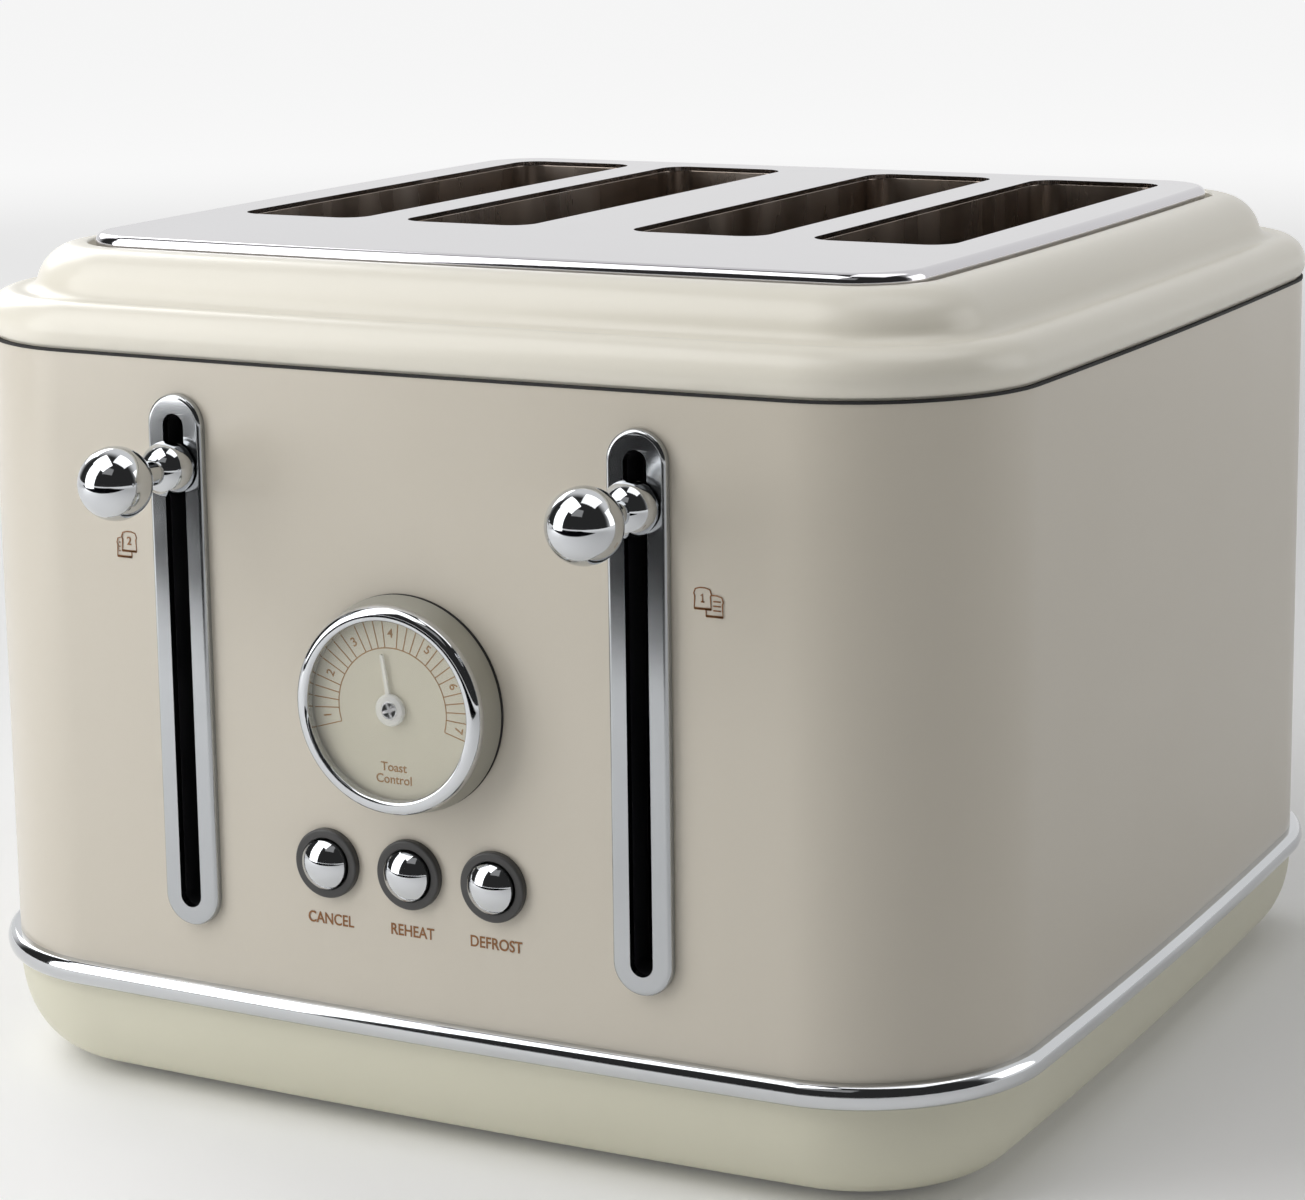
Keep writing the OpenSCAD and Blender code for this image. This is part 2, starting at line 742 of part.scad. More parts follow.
module slot_shrouds() {
    color([0.05, 0.05, 0.05]) placed()
        for (s = [-1, 1])
            difference() {
                lever_cut(s, shroud_rim, esc_y, esc_y + shroud_depth);
                lever_cut(s, 0, esc_y - 1, esc_y + shroud_depth + 1);
            }
}

// --- Dial ---

skirt_t = 2;
skirt_gap = 0.8;
skirt_taper = 0.3;
lens_t = 1.2;
bezel_h = 2.8;
bezel_edge = 2.2;
bezel_chamfer = 0.8;
bezel_lip = 0.7;
glass_r = dial_r - bezel_w;
pointer_h = 1.2;
face_gap = 0.7;
base_o = dial_out - bezel_h;
lens_o = dial_out - bezel_lip - lens_t;
face_o = base_o - face_gap;
pointer_o = lens_o - pointer_h;
face_t = 1;
boss_t = 2.5;
boss_o = -3.2;
module dial_face() {
    color([0.78, 0.77, 0.68]) placed() translate([0, 0, dial_z]) difference() {
        turned([[0, face_o - face_t], [0, face_o], [dial_r - skirt_t - 0.5, face_o],
            [dial_r - skirt_t - 0.5, face_o - face_t]]);
        rod_along_y(shaft_r + run_fit, -half_d - 30, -half_d + 30);
    }
    color([0.78, 0.77, 0.68]) placed() translate([0, 0, dial_z])
        turned([[boss_r - boss_t, boss_o], [boss_r - boss_t, face_o - face_t],
            [boss_r, face_o - face_t], [boss_r, boss_o]]);
}

module dial_skirt() {
    color([0.72, 0.71, 0.65]) placed() translate([0, 0, dial_z])
        turned([
            [dial_r + dial_flare - skirt_t, skirt_gap],
            [dial_r - skirt_t, base_o],
            [dial_r - skirt_taper, base_o],
            [dial_r + dial_flare, skirt_gap]
        ]);
}

module dial_bezel() {
    color([0.87, 0.88, 0.9]) placed() translate([0, 0, dial_z])
        turned(concat(
            [[glass_r, base_o], [dial_r, base_o]],
            arc([dial_r - bezel_edge, base_o + bezel_h - bezel_edge], bezel_edge, 0, 90, 8),
            [[glass_r + bezel_chamfer, base_o + bezel_h], [glass_r, base_o + bezel_h - bezel_chamfer]]
        ));
}

module dial_lens() {
    color([0.9, 0.95, 0.95, 0.35]) placed() translate([0, 0, dial_z])
        turned([[0, lens_o], [glass_r, lens_o], [glass_r, lens_o + lens_t], [0, lens_o + lens_t]]);
}

hub_r = 3.9;
pointer_len = 13.6;
pointer_t = 0.8;
module dial_pointer() {
    color([0.93, 0.93, 0.9]) placed() translate([0, 0, dial_z]) rotate([0, pointer_angle, 0]) {
        difference() {
            union() {
                turned([[0, pointer_o], [0, lens_o], [hub_r, lens_o], [hub_r, pointer_o]]);
                box([-0.5, 0.5], [-half_d - pointer_o - pointer_t, -half_d - pointer_o],
                    [hub_r - 0.6, pointer_len]);
            }
            rod_along_y(shaft_r - 0.8, -half_d - 30, -half_d + 30);
        }
    }
}

pot_o = -14;
module dial_shaft() {
    color([0.8, 0.8, 0.82]) placed() translate([0, 0, dial_z]) {
        rod_along_y(shaft_r, -half_d - pointer_o, -half_d - pot_o + 5);
        rod_along_y(shaft_r - 0.8, -half_d - lens_o, -half_d);
    }
}

// --- Buttons ---

dome_h = 2.6;
button_out = 2.8;
button_depth = 4;
button_stem_r = 2.2;
button_stem_end = 14;
module button(k) {
    ball = (pow(button_r, 2) + pow(dome_h, 2)) / (2 * dome_h);
    color([0.88, 0.89, 0.9]) placed() translate([k * button_pitch, 0, button_z]) {
        rod_along_y(button_r, -half_d - button_out, -half_d + button_depth);
        intersection() {
            translate([0, -half_d - button_out - dome_h + ball, 0])
                rotate([90, 0, 0]) sphere(ball, $fn = 64);
            rod_along_y(button_r, -half_d - button_out - dome_h - 1, -half_d - button_out);
        }
        rod_along_y(button_stem_r, -half_d + button_depth, -half_d + button_stem_end);
    }
}
module left_button() { button(-1); }
module middle_button() { button(0); }
module right_button() { button(1); }

ring_out = 1.8;
module button_rings() {
    color([0.22, 0.22, 0.22]) placed()
        for (k = [-1:1])
            translate([k * button_pitch, 0, button_z])
                turned([[button_r + 0.3, 0], [button_r + 0.3, ring_out - 0.3], [button_r + 0.6, ring_out],
                    [ring_r - 0.6, ring_out], [ring_r, ring_out - 0.6], [ring_r, 0]]);
}

// --- Electrics ---

pcb_half = 42;
pcb_below = 14;
pcb_above = 24;
pcb_z0 = button_z - pcb_below;
pcb_z1 = dial_z + pcb_above;
module control_board() {
    color([0.16, 0.36, 0.2]) placed() {
        box([-pcb_half, pcb_half], [board_y, board_y + pcb_t], [pcb_z0, pcb_z1]);
        box([-36, -24], [board_y + pcb_t, board_y + pcb_t + 12], [pcb_z1 - 30, pcb_z1 - 12]);
        box([20, 38], [board_y + pcb_t, board_y + pcb_t + 15], [pcb_z1 - 34, pcb_z1 - 8]);
    }
}

module board_bracket() {
    y = board_y + pcb_t;
    color([0.65, 0.65, 0.65]) placed() {
        box([-16, 16], [y, y + sheet_t], [floor_z + floor_t, pcb_z0 + 30]);
        box([-16, 16], [y, y + 18], [floor_z + floor_t, floor_z + floor_t + sheet_t]);
    }
}

module timer_pot() {
    color([0.25, 0.28, 0.32]) placed() translate([0, 0, dial_z]) difference() {
        box([-8, 8], [-half_d - pot_o, board_y], [-8, 8]);
        rod_along_y(shaft_r + run_fit, -half_d - pot_o - 1, -half_d - pot_o + 5.4);
    }
}

module button_switches() {
    top = -half_d + button_stem_end + button_travel + 0.1;
    color([0.1, 0.1, 0.1]) placed()
        for (k = [-1:1])
            translate([k * button_pitch, 0, button_z]) {
                box([-3, 3], [top + 1.5, board_y], [-3, 3]);
                rod_along_y(1.7, top, top + 1.5);
            }
}

terminal_half = 11;
terminal_t = 14;
terminal_h = 20;
module terminal_block() {
    y = rear_y + sheet_t;
    color([0.9, 0.88, 0.82]) placed()
        box([-terminal_half, terminal_half], [y, y + terminal_t],
            [inlet_z + 8 - terminal_h, inlet_z + 8]);
}

module cord_inlet() {
    color([0.12, 0.12, 0.12]) placed() translate([0, 0, inlet_z]) difference() {
        union() {
            rod_along_y(inlet_r - inlet_gap, half_d - wall_t - 5, half_d);
            rod_along_y(inlet_r + 2.5, half_d, half_d + 3);
            rod_along_y(inlet_r + 2, half_d - wall_t - 4, half_d - wall_t - inlet_gap);
        }
        rod_along_y(3.6, half_d - 30, half_d + 30);
    }
}

// --- Crumb trays ---

module crumb_tray(s) {
    color([0.68, 0.68, 0.69]) placed() difference() {
        side_box(s, [tray_x0, tray_x1], [tray_y0, tray_y1], [tray_z, tray_z + tray_h]);
        side_box(s, [tray_x0 + tray_t, tray_x1 - tray_t], [tray_y0 + tray_t, tray_y1 - tray_t],
            [tray_z + tray_t, tray_z + tray_h + 1]);
    }
}
module left_crumb_tray() { crumb_tray(-1); }
module right_crumb_tray() { crumb_tray(1); }

module tray_pull(s) {
    middle = (tray_x0 + tray_x1) / 2;
    z = tray_z + tray_h / 2;
    color([0.85, 0.86, 0.88]) placed() {
        side_box(s, [middle - pull_w / 2, middle - pull_w / 2 + 3],
            [tray_y1, tray_y1 + pull_out - 3], [z - 2, z + 2]);
        side_box(s, [middle + pull_w / 2 - 3, middle + pull_w / 2],
            [tray_y1, tray_y1 + pull_out - 3], [z - 2, z + 2]);
        side_box(s, [middle - pull_w / 2, middle + pull_w / 2], [tray_y1 + pull_out - 3, tray_y1 + pull_out],
            [z - 2, z + 2]);
    }
}
module left_tray_pull() { tray_pull(-1); }
module right_tray_pull() { tray_pull(1); }

base_shell();
bottom_plate();
feet();
foot_screws();
chrome_band();
body_shell();
top_cap();
slot_plate();
slot_liners();
chassis_floor();
chassis_posts();
chassis_front();
chassis_rear();
chassis_divider();
heat_shields();
mica_boards();
heating_wires();
left_guards_left();
left_guards_right();
right_guards_left();
right_guards_right();
left_carriage();
right_carriage();
left_racks();
right_racks();
left_stem();
right_stem();
left_ball_knob();
right_ball_knob();
left_latch_plate();
right_latch_plate();
guide_rods();
left_return_spring();
right_return_spring();
magnet_cores();
magnet_coils();
left_escutcheon();
right_escutcheon();
slot_shrouds();
dial_face();
dial_skirt();
dial_bezel();
dial_lens();
dial_pointer();
dial_shaft();
left_button();
middle_button();
right_button();
button_rings();
control_board();
board_bracket();
timer_pot();
button_switches();
terminal_block();
left_crumb_tray();
right_crumb_tray();
left_tray_pull();
right_tray_pull();
cord_inlet();
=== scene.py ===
import bpy
import math
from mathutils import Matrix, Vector


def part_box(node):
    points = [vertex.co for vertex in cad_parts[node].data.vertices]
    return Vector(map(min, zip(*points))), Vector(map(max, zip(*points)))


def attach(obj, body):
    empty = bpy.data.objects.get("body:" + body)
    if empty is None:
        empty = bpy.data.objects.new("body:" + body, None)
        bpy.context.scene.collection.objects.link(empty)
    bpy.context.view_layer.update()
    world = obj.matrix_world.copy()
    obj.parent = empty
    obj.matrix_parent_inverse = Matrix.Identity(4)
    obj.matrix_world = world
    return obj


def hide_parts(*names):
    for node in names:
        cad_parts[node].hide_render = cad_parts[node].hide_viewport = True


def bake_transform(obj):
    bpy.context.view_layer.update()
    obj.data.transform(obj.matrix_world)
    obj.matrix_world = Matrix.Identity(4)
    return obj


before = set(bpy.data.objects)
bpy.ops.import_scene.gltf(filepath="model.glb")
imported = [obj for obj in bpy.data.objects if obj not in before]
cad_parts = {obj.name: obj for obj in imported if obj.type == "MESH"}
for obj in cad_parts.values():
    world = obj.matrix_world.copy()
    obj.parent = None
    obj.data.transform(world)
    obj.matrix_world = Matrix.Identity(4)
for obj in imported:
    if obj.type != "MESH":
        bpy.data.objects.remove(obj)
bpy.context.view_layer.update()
print("packed model loaded:", len(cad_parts), "nodes")

# camera, first, at the angle the toaster is seen from

camera = {
    "place": (0.42421, -0.81411, 0.31700),
    "turn": (79.145, 0.722, 27.377),   # degrees
    "lens": 95.69,
    "shiftY": -0.08,
}


def placeCamera():
    turn = [math.radians(a) for a in camera["turn"]]
    bpy.ops.object.camera_add(location=camera["place"], rotation=turn)
    eye = bpy.context.object
    eye.data.sensor_width = 36
    eye.data.lens = camera["lens"]
    eye.data.shift_y = camera["shiftY"]
    eye.data.clip_start = 0.01
    bpy.context.scene.camera = eye


placeCamera()
bpy.context.scene.view_settings.view_transform = "Standard"
print("camera placed")


# small helpers, the same moves as by hand

def takeUp(piece):
    if bpy.context.object and bpy.context.object.mode != "OBJECT":
        bpy.ops.object.mode_set(mode="OBJECT")
    bpy.ops.object.select_all(action="DESELECT")
    piece.select_set(True)
    bpy.context.view_layer.objects.active = piece
    return piece


def keepModifiers(piece):
    takeUp(piece)
    for name in [m.name for m in piece.modifiers]:
        bpy.ops.object.modifier_apply(modifier=name)


def settle(piece):
    takeUp(piece)
    bpy.ops.object.transform_apply(location=True, rotation=True, scale=True)
    return piece


def closeMesh(piece):
    takeUp(piece)
    bpy.ops.object.mode_set(mode="EDIT")
    bpy.ops.mesh.select_all(action="SELECT")
    bpy.ops.mesh.remove_doubles(threshold=1e-6)
    bpy.ops.mesh.normals_make_consistent(inside=False)
    bpy.ops.object.mode_set(mode="OBJECT")
    return piece


def smoothPiece(piece, angle=32):
    takeUp(piece)
    bpy.ops.object.shade_smooth_by_angle(angle=math.radians(angle))
    weights = piece.modifiers.new("evenNormals", "WEIGHTED_NORMAL")
    weights.weight = 90
    weights.keep_sharp = True
    keepModifiers(piece)
    return piece


def softEdges(piece, width, steps=2, angle=50):
    bevel = piece.modifiers.new("softEdges", "BEVEL")
    bevel.width = width
    bevel.segments = steps
    bevel.limit_method = "ANGLE"
    bevel.angle_limit = math.radians(angle)
    keepModifiers(piece)
    return piece


def cutAway(piece, cutters):
    for cutter in cutters:
        cut = piece.modifiers.new("cut", "BOOLEAN")
        cut.operation = "DIFFERENCE"
        cut.solver = "EXACT"
        cut.object = cutter
        keepModifiers(piece)
        bpy.data.objects.remove(cutter)
    return piece


def copyPiece(first, shift):
    copy = first.copy()
    copy.data = first.data.copy()
    bpy.context.scene.collection.objects.link(copy)
    copy.location = shift
    return settle(copy)


def joinPieces(name, parts):
    takeUp(parts[0])
    for part in parts[1:]:
        part.select_set(True)
    bpy.ops.object.join()
    parts[0].name = name
    return parts[0]


def lineCurve(name, points, closed=True, flat=False):
    return lineCurves(name, [points], closed, flat)


def lineCurves(name, outlines, closed=True, flat=False):
    data = bpy.data.curves.new(name, "CURVE")
    data.dimensions = "2D" if flat else "3D"
    for points in outlines:
        line = data.splines.new("POLY")
        line.points.add(len(points) - 1)
        for knot, point in zip(line.points, points):
            knot.co = (*point, 1) if len(point) == 3 else (*point, 0, 1)
        line.use_cyclic_u = closed
    curve = bpy.data.objects.new(name, data)
    bpy.context.scene.collection.objects.link(curve)
    return curve


def asMesh(curve):
    takeUp(curve)
    bpy.ops.object.convert(target="MESH")
    return bpy.context.object


def sweepAlong(track, section):
    track.data.twist_mode = "Z_UP"
    track.data.bevel_mode = "OBJECT"
    track.data.bevel_object = section
    swept = asMesh(track)
    bpy.data.objects.remove(section)
    return swept


def bendWire(name, points, radius, resolution):
    # an open line as round wire with closed ends
    curve = lineCurve(name, points, closed=False)
    curve.data.bevel_depth = radius
    curve.data.bevel_resolution = resolution
    curve.data.use_fill_caps = True
    return smoothPiece(closeMesh(asMesh(curve)))


def flatPlate(name, outlines, thickness, rounding=0.0, steps=3):
    # a filled outline lying on its middle plane, holes and all, with rounded rims
    curve = lineCurves(name, outlines, flat=True)
    curve.data.fill_mode = "BOTH"
    curve.data.extrude = thickness / 2 - rounding
    curve.data.bevel_depth = rounding
    curve.data.bevel_resolution = steps
    curve.data.offset = -rounding
    return closeMesh(asMesh(curve))


def standUp(piece, place):
    # from lying flat to standing, its upper side towards the front
    piece.rotation_euler = (math.pi / 2, 0, 0)
    piece.location = place
    return settle(piece)


def arcPoints(centre, radius, start, end, steps):
    turns = [math.radians(start + (end - start) * i / steps) for i in range(steps + 1)]
    return [(centre[0] + radius * math.cos(a), centre[1] + radius * math.sin(a)) for a in turns]


def cornerArcs(centre, halfX, halfY, radius, steps):
    # the four round corners, anticlockwise from the right
    arcs = []
    for i, (sx, sy) in enumerate(((1, 1), (-1, 1), (-1, -1), (1, -1))):
        corner = (centre[0] + sx * (halfX - radius), centre[1] + sy * (halfY - radius))
        arcs.append(arcPoints(corner, radius, 90 * i, 90 * i + 90, steps))
    return arcs


def roundedOutline(centre, width, height, radius, steps=10):
    return sum(cornerArcs(centre, width / 2, height / 2, radius, steps), [])


def turned(points, angle):
    # anticlockwise, in degrees
    c, s = math.cos(math.radians(angle)), math.sin(math.radians(angle))
    return [(x * c - y * s, x * s + y * c) for x, y in points]


def middleXz(low, high):
    return (low.x + high.x) / 2, (low.z + high.z) / 2


def turnPiece(name, profile, centre, steps=96, way=(0, -1, 0)):
    # a profile of (radius, how far out) turned about an axis that points to the front
    way = Vector(way)
    middle = Vector(centre)
    points = [tuple(middle + Vector((r, 0, 0)) + way * out) for r, out in profile]
    piece = asMesh(lineCurve(name, points, closed=False))
    bpy.ops.object.mode_set(mode="EDIT")
    bpy.ops.mesh.select_all(action="SELECT")
    bpy.ops.mesh.spin(steps=steps, angle=2 * math.pi, center=middle, axis=way)
    bpy.ops.object.mode_set(mode="OBJECT")
    return smoothPiece(closeMesh(piece))


def give(piece, finish, body, slot, *nodes):
    piece.data.materials.clear()
    piece.data.materials.append(finish)
    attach(piece, body)
    if nodes:
        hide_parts(*nodes)
    return piece


# finishes

def setInputs(node, values):
    for socket, value in values.items():
        node.inputs[socket].default_value = value
    return node


def addRange(nodes, start, end, low, high, smooth=False):
    reach = nodes.new("ShaderNodeMapRange")
    reach.interpolation_type = "SMOOTHSTEP" if smooth else "LINEAR"
    return setInputs(reach, {"From Min": start, "From Max": end, "To Min": low, "To Max": high})


# the part of a noise that carries the change, and the edge sharpness that starts to wear
grain = {"low": 0.3, "high": 0.7, "wearStart": 0.53, "wearEnd": 0.62}


def makeFinish(name, look):
    # look holds what a user would change: colours, roughness, the grain and the fine surface
    finish = bpy.data.materials.new(name)
    finish.use_nodes = True
    nodes, links = finish.node_tree.nodes, finish.node_tree.links
    shader = setInputs(nodes["Principled BSDF"], look.get("sockets", {}))
    place = nodes.new("ShaderNodeTexCoord")
    stretch = setInputs(nodes.new("ShaderNodeMapping"), {"Scale": look.get("stretch", (1, 1, 1))})
    links.new(place.outputs["Object"], stretch.inputs["Vector"])

    def noise(scale, detail=4.0):
        spots = setInputs(nodes.new("ShaderNodeTexNoise"), {"Scale": scale, "Detail": detail})
        links.new(stretch.outputs["Vector"], spots.inputs["Vector"])
        return spots.outputs["Fac"]

    def ramp(fac, low, high):
        band = nodes.new("ShaderNodeValToRGB")
        for stop, at, colour in zip(band.color_ramp.elements, (grain["low"], grain["high"]), (low, high)):
            stop.position = at
            stop.color = (*colour, 1)
        links.new(fac, band.inputs["Fac"])
        return band.outputs["Color"]

    pattern = noise(look["mottle"])
    if look.get("cells"):
        cells = setInputs(nodes.new("ShaderNodeTexVoronoi"), {"Scale": look["cells"]})
        links.new(stretch.outputs["Vector"], cells.inputs["Vector"])
        split = nodes.new("ShaderNodeSeparateColor")
        links.new(cells.outputs["Color"], split.inputs["Color"])
        pattern = split.outputs["Red"]
    colour = ramp(pattern, look["colour"], look["tint"])
    if look.get("worn"):
        geometry = nodes.new("ShaderNodeNewGeometry")
        edge = addRange(nodes, grain["wearStart"], grain["wearEnd"], 0, look["wornShare"])
        links.new(geometry.outputs["Pointiness"], edge.inputs["Value"])
        mix = nodes.new("ShaderNodeMix")
        mix.data_type = "RGBA"
        links.new(edge.outputs["Result"], mix.inputs["Factor"])
        links.new(colour, mix.inputs["A"])
        mix.inputs["B"].default_value = (*look["worn"], 1)
        colour = mix.outputs["Result"]
    links.new(colour, shader.inputs["Base Color"])
    rough = addRange(nodes, grain["low"], grain["high"], *look["rough"])
    links.new(noise(look.get("smudge", 30)), rough.inputs["Value"])
    links.new(rough.outputs["Result"], shader.inputs["Roughness"])
    scale, depth = look["bump"]
    strength = look.get("bumpStrength", 0.5)
    bump = setInputs(nodes.new("ShaderNodeBump"), {"Strength": strength, "Distance": depth})
    links.new(noise(scale, 2.0), bump.inputs["Height"])
    links.new(bump.outputs["Normal"], shader.inputs["Normal"])
    return finish


paintLook = {
    "colour": (0.600, 0.552, 0.465), "tint": (0.612, 0.564, 0.477), "mottle": 9,
    "rough": (0.30, 0.36), "smudge": 22, "bump": (900, 0.00002), "bumpStrength": 0.25,
    "worn": (0.66, 0.62, 0.54), "wornShare": 0.25,
    "sockets": {"Coat Weight": 0.35, "Coat Roughness": 0.18, "IOR": 1.48},
}
creamPaint = makeFinish("creamPaint", paintLook)

capLook = {
    "colour": (0.775, 0.740, 0.645), "tint": (0.787, 0.752, 0.657), "mottle": 9,
    "rough": (0.30, 0.36), "smudge": 22, "bump": (900, 0.00002), "bumpStrength": 0.2,
    "worn": (0.74, 0.70, 0.61), "wornShare": 0.25,
    "sockets": {"Coat Weight": 0.25, "Coat Roughness": 0.16, "IOR": 1.45},
}
capPaint = makeFinish("capPaint", capLook)

baseLook = {
    "colour": (0.690, 0.670, 0.540), "tint": (0.705, 0.685, 0.555), "mottle": 14,
    "rough": (0.38, 0.46), "smudge": 40, "bump": (1400, 0.00003), "bumpStrength": 0.35,
    "worn": (0.67, 0.66, 0.55), "wornShare": 0.3,
    "sockets": {"IOR": 1.46, "Specular IOR Level": 0.4},
}
basePlastic = makeFinish("basePlastic", baseLook)

underLook = {
    "colour": (0.080, 0.080, 0.078), "tint": (0.105, 0.104, 0.100), "mottle": 30,
    "rough": (0.5, 0.65), "bump": (1600, 0.00004), "sockets": {"IOR": 1.46},
}
underPlastic = makeFinish("underPlastic", underLook)

# black rubber for the feet; the same black also paints the shade in the seam under the cap and in the gap
# round the dial
rubberAndShadeLook = {
    "colour": (0.020, 0.020, 0.021), "tint": (0.034, 0.033, 0.033), "mottle": 60,
    "rough": (0.6, 0.8), "bump": (1200, 0.00005), "sockets": {"Specular IOR Level": 0.3},
}
rubberAndShadeBlack = makeFinish("rubberAndShadeBlack", rubberAndShadeLook)

chromeLook = {
    "colour": (0.60, 0.615, 0.635), "tint": (0.65, 0.665, 0.685), "mottle": 18,
    "rough": (0.035, 0.075), "smudge": 35, "bump": (500, 0.000006), "bumpStrength": 0.1,
    "sockets": {"Metallic": 1.0},
}
brightChrome = makeFinish("brightChrome", chromeLook)

frameLook = {
    "colour": (0.46, 0.475, 0.49), "tint": (0.51, 0.525, 0.54), "mottle": 16,
    "rough": (0.12, 0.17), "smudge": 45, "bump": (700, 0.000008), "bumpStrength": 0.12,
    "sockets": {"Metallic": 1.0},
}
frameChrome = makeFinish("frameChrome", frameLook)

deckLook = {
    "colour": (0.62, 0.61, 0.635), "tint": (0.66, 0.65, 0.675), "mottle": 8,
    "rough": (0.05, 0.09), "smudge": 14, "bump": (420, 0.000006), "bumpStrength": 0.08,
    "sockets": {"Metallic": 1.0},
}
deckSteel = makeFinish("deckSteel", deckLook)

linerLook = {
    "colour": (0.36, 0.29, 0.235), "tint": (0.47, 0.42, 0.38), "mottle": 24,
    "rough": (0.2, 0.34), "smudge": 60, "stretch": (1, 1, 0.25), "bump": (900, 0.00002),
    "sockets": {"Metallic": 1.0},
}
linerSteel = makeFinish("linerSteel", linerLook)

zincLook = {
    "colour": (0.40, 0.41, 0.42), "tint": (0.56, 0.57, 0.58), "mottle": 40, "cells": 160,
    "rough": (0.3, 0.45), "smudge": 80, "bump": (500, 0.00003), "sockets": {"Metallic": 1.0},
}
zincSheet = makeFinish("zincSheet", zincLook)

postLook = {
    "colour": (0.05, 0.05, 0.052), "tint": (0.07, 0.07, 0.072), "mottle": 50,
    "rough": (0.45, 0.6), "bump": (1500, 0.00003), "sockets": {"IOR": 1.48},
}
postPlastic = makeFinish("postPlastic", postLook)

micaLook = {
    "colour": (0.46, 0.40, 0.29), "tint": (0.60, 0.54, 0.42), "mottle": 40, "cells": 230,
    "rough": (0.25, 0.5), "smudge": 120, "bump": (800, 0.00006),
    "sockets": {"IOR": 1.58, "Sheen Weight": 0.1},
}
micaSheet = makeFinish("micaSheet", micaLook)

ribbonLook = {
    "colour": (0.11, 0.095, 0.085), "tint": (0.20, 0.17, 0.15), "mottle": 140,
    "rough": (0.4, 0.55), "bump": (1500, 0.00002), "sockets": {"Metallic": 1.0},
}
ribbonAlloy = makeFinish("ribbonAlloy", ribbonLook)

guardLook = {
    "colour": (0.42, 0.41, 0.40), "tint": (0.52, 0.51, 0.50), "mottle": 70,
    "rough": (0.22, 0.35), "bump": (900, 0.00002), "sockets": {"Metallic": 1.0},
}
guardWire = makeFinish("guardWire", guardLook)

ironLook = {
    "colour": (0.26, 0.26, 0.27), "tint": (0.34, 0.34, 0.35), "mottle": 60,
    "rough": (0.35, 0.5), "bump": (700, 0.00003), "sockets": {"Metallic": 1.0},
}
latchIron = makeFinish("latchIron", ironLook)

springLook = {
    "colour": (0.50, 0.50, 0.51), "tint": (0.60, 0.60, 0.61), "mottle": 120,
    "rough": (0.2, 0.32), "bump": (1200, 0.00001), "sockets": {"Metallic": 1.0},
}
springWire = makeFinish("springWire", springLook)

copperLook = {
    "colour": (0.55, 0.22, 0.09), "tint": (0.68, 0.30, 0.13), "mottle": 40, "stretch": (1, 1, 16),
    "rough": (0.25, 0.4), "bump": (120, 0.0002), "sockets": {"Metallic": 1.0},
}
coilCopper = makeFinish("coilCopper", copperLook)

blackLook = {
    "colour": (0.012, 0.012, 0.013), "tint": (0.020, 0.020, 0.021), "mottle": 40,
    "rough": (0.3, 0.42), "bump": (1500, 0.00003), "sockets": {"IOR": 1.48},
}
blackPlastic = makeFinish("blackPlastic", blackLook)

dialLook = {
    "colour": (0.545, 0.515, 0.405), "tint": (0.56, 0.53, 0.42), "mottle": 30,
    "rough": (0.4, 0.5), "bump": (1600, 0.00001), "sockets": {"IOR": 1.45},
}
dialCard = makeFinish("dialCard", dialLook)

satinLook = {
    "colour": (0.42, 0.42, 0.385), "tint": (0.46, 0.46, 0.42), "mottle": 50,
    "rough": (0.28, 0.36), "smudge": 90, "bump": (1500, 0.00001), "sockets": {"Metallic": 0.85},
}
satinMetal = makeFinish("satinMetal", satinLook)

glassLook = {
    "colour": (0.97, 0.985, 0.98), "tint": (0.98, 0.99, 0.985), "mottle": 20,
    "rough": (0.0, 0.03), "smudge": 60, "bump": (300, 0.000002), "bumpStrength": 0.05,
    "sockets": {"Alpha": 0.035, "IOR": 1.5, "Specular IOR Level": 1.0},
}
clearGlass = makeFinish("clearGlass", glassLook)

needleLook = {
    "colour": (0.86, 0.86, 0.82), "tint": (0.92, 0.92, 0.88), "mottle": 90,
    "rough": (0.15, 0.3), "bump": (900, 0.00001), "sockets": {"Alpha": 0.5, "IOR": 1.45},
}
frostedClear = makeFinish("frostedClear", needleLook)

ringLook = {
    "colour": (0.052, 0.051, 0.050), "tint": (0.066, 0.065, 0.064), "mottle": 60,
    "rough": (0.34, 0.44), "bump": (1800, 0.00003), "sockets": {"IOR": 1.47},
}
ringPlastic = makeFinish("ringPlastic", ringLook)

boardLook = {
    "colour": (0.02, 0.12, 0.05), "tint": (0.04, 0.20, 0.09), "mottle": 30, "cells": 420,
    "rough": (0.25, 0.4), "bump": (900, 0.00003), "sockets": {"Coat Weight": 0.4},
}
boardGreen = makeFinish("boardGreen", boardLook)

potLook = {
    "colour": (0.05, 0.07, 0.10), "tint": (0.08, 0.10, 0.13), "mottle": 60,
    "rough": (0.35, 0.5), "bump": (1200, 0.00002), "sockets": {"IOR": 1.47},
}
potPlastic = makeFinish("potPlastic", potLook)

nylonLook = {
    "colour": (0.70, 0.68, 0.60), "tint": (0.76, 0.74, 0.66), "mottle": 40,
    "rough": (0.4, 0.5), "bump": (1100, 0.00003), "sockets": {"Subsurface Weight": 0.05},
}
nylonBlock = makeFinish("nylonBlock", nylonLook)

printLook = {
    "colour": (0.250, 0.105, 0.033), "tint": (0.28, 0.125, 0.042), "mottle": 300,
    "rough": (0.45, 0.55), "bump": (2000, 0.00001), "sockets": {"IOR": 1.45},
}
frontInk = makeFinish("frontInk", printLook)

dialInkLook = {
    "colour": (0.285, 0.150, 0.045), "tint": (0.315, 0.170, 0.055), "mottle": 300,
    "rough": (0.45, 0.55), "bump": (2000, 0.00001), "sockets": {"IOR": 1.45},
}
dialInk = makeFinish("dialInk", dialInkLook)

print("finishes made")


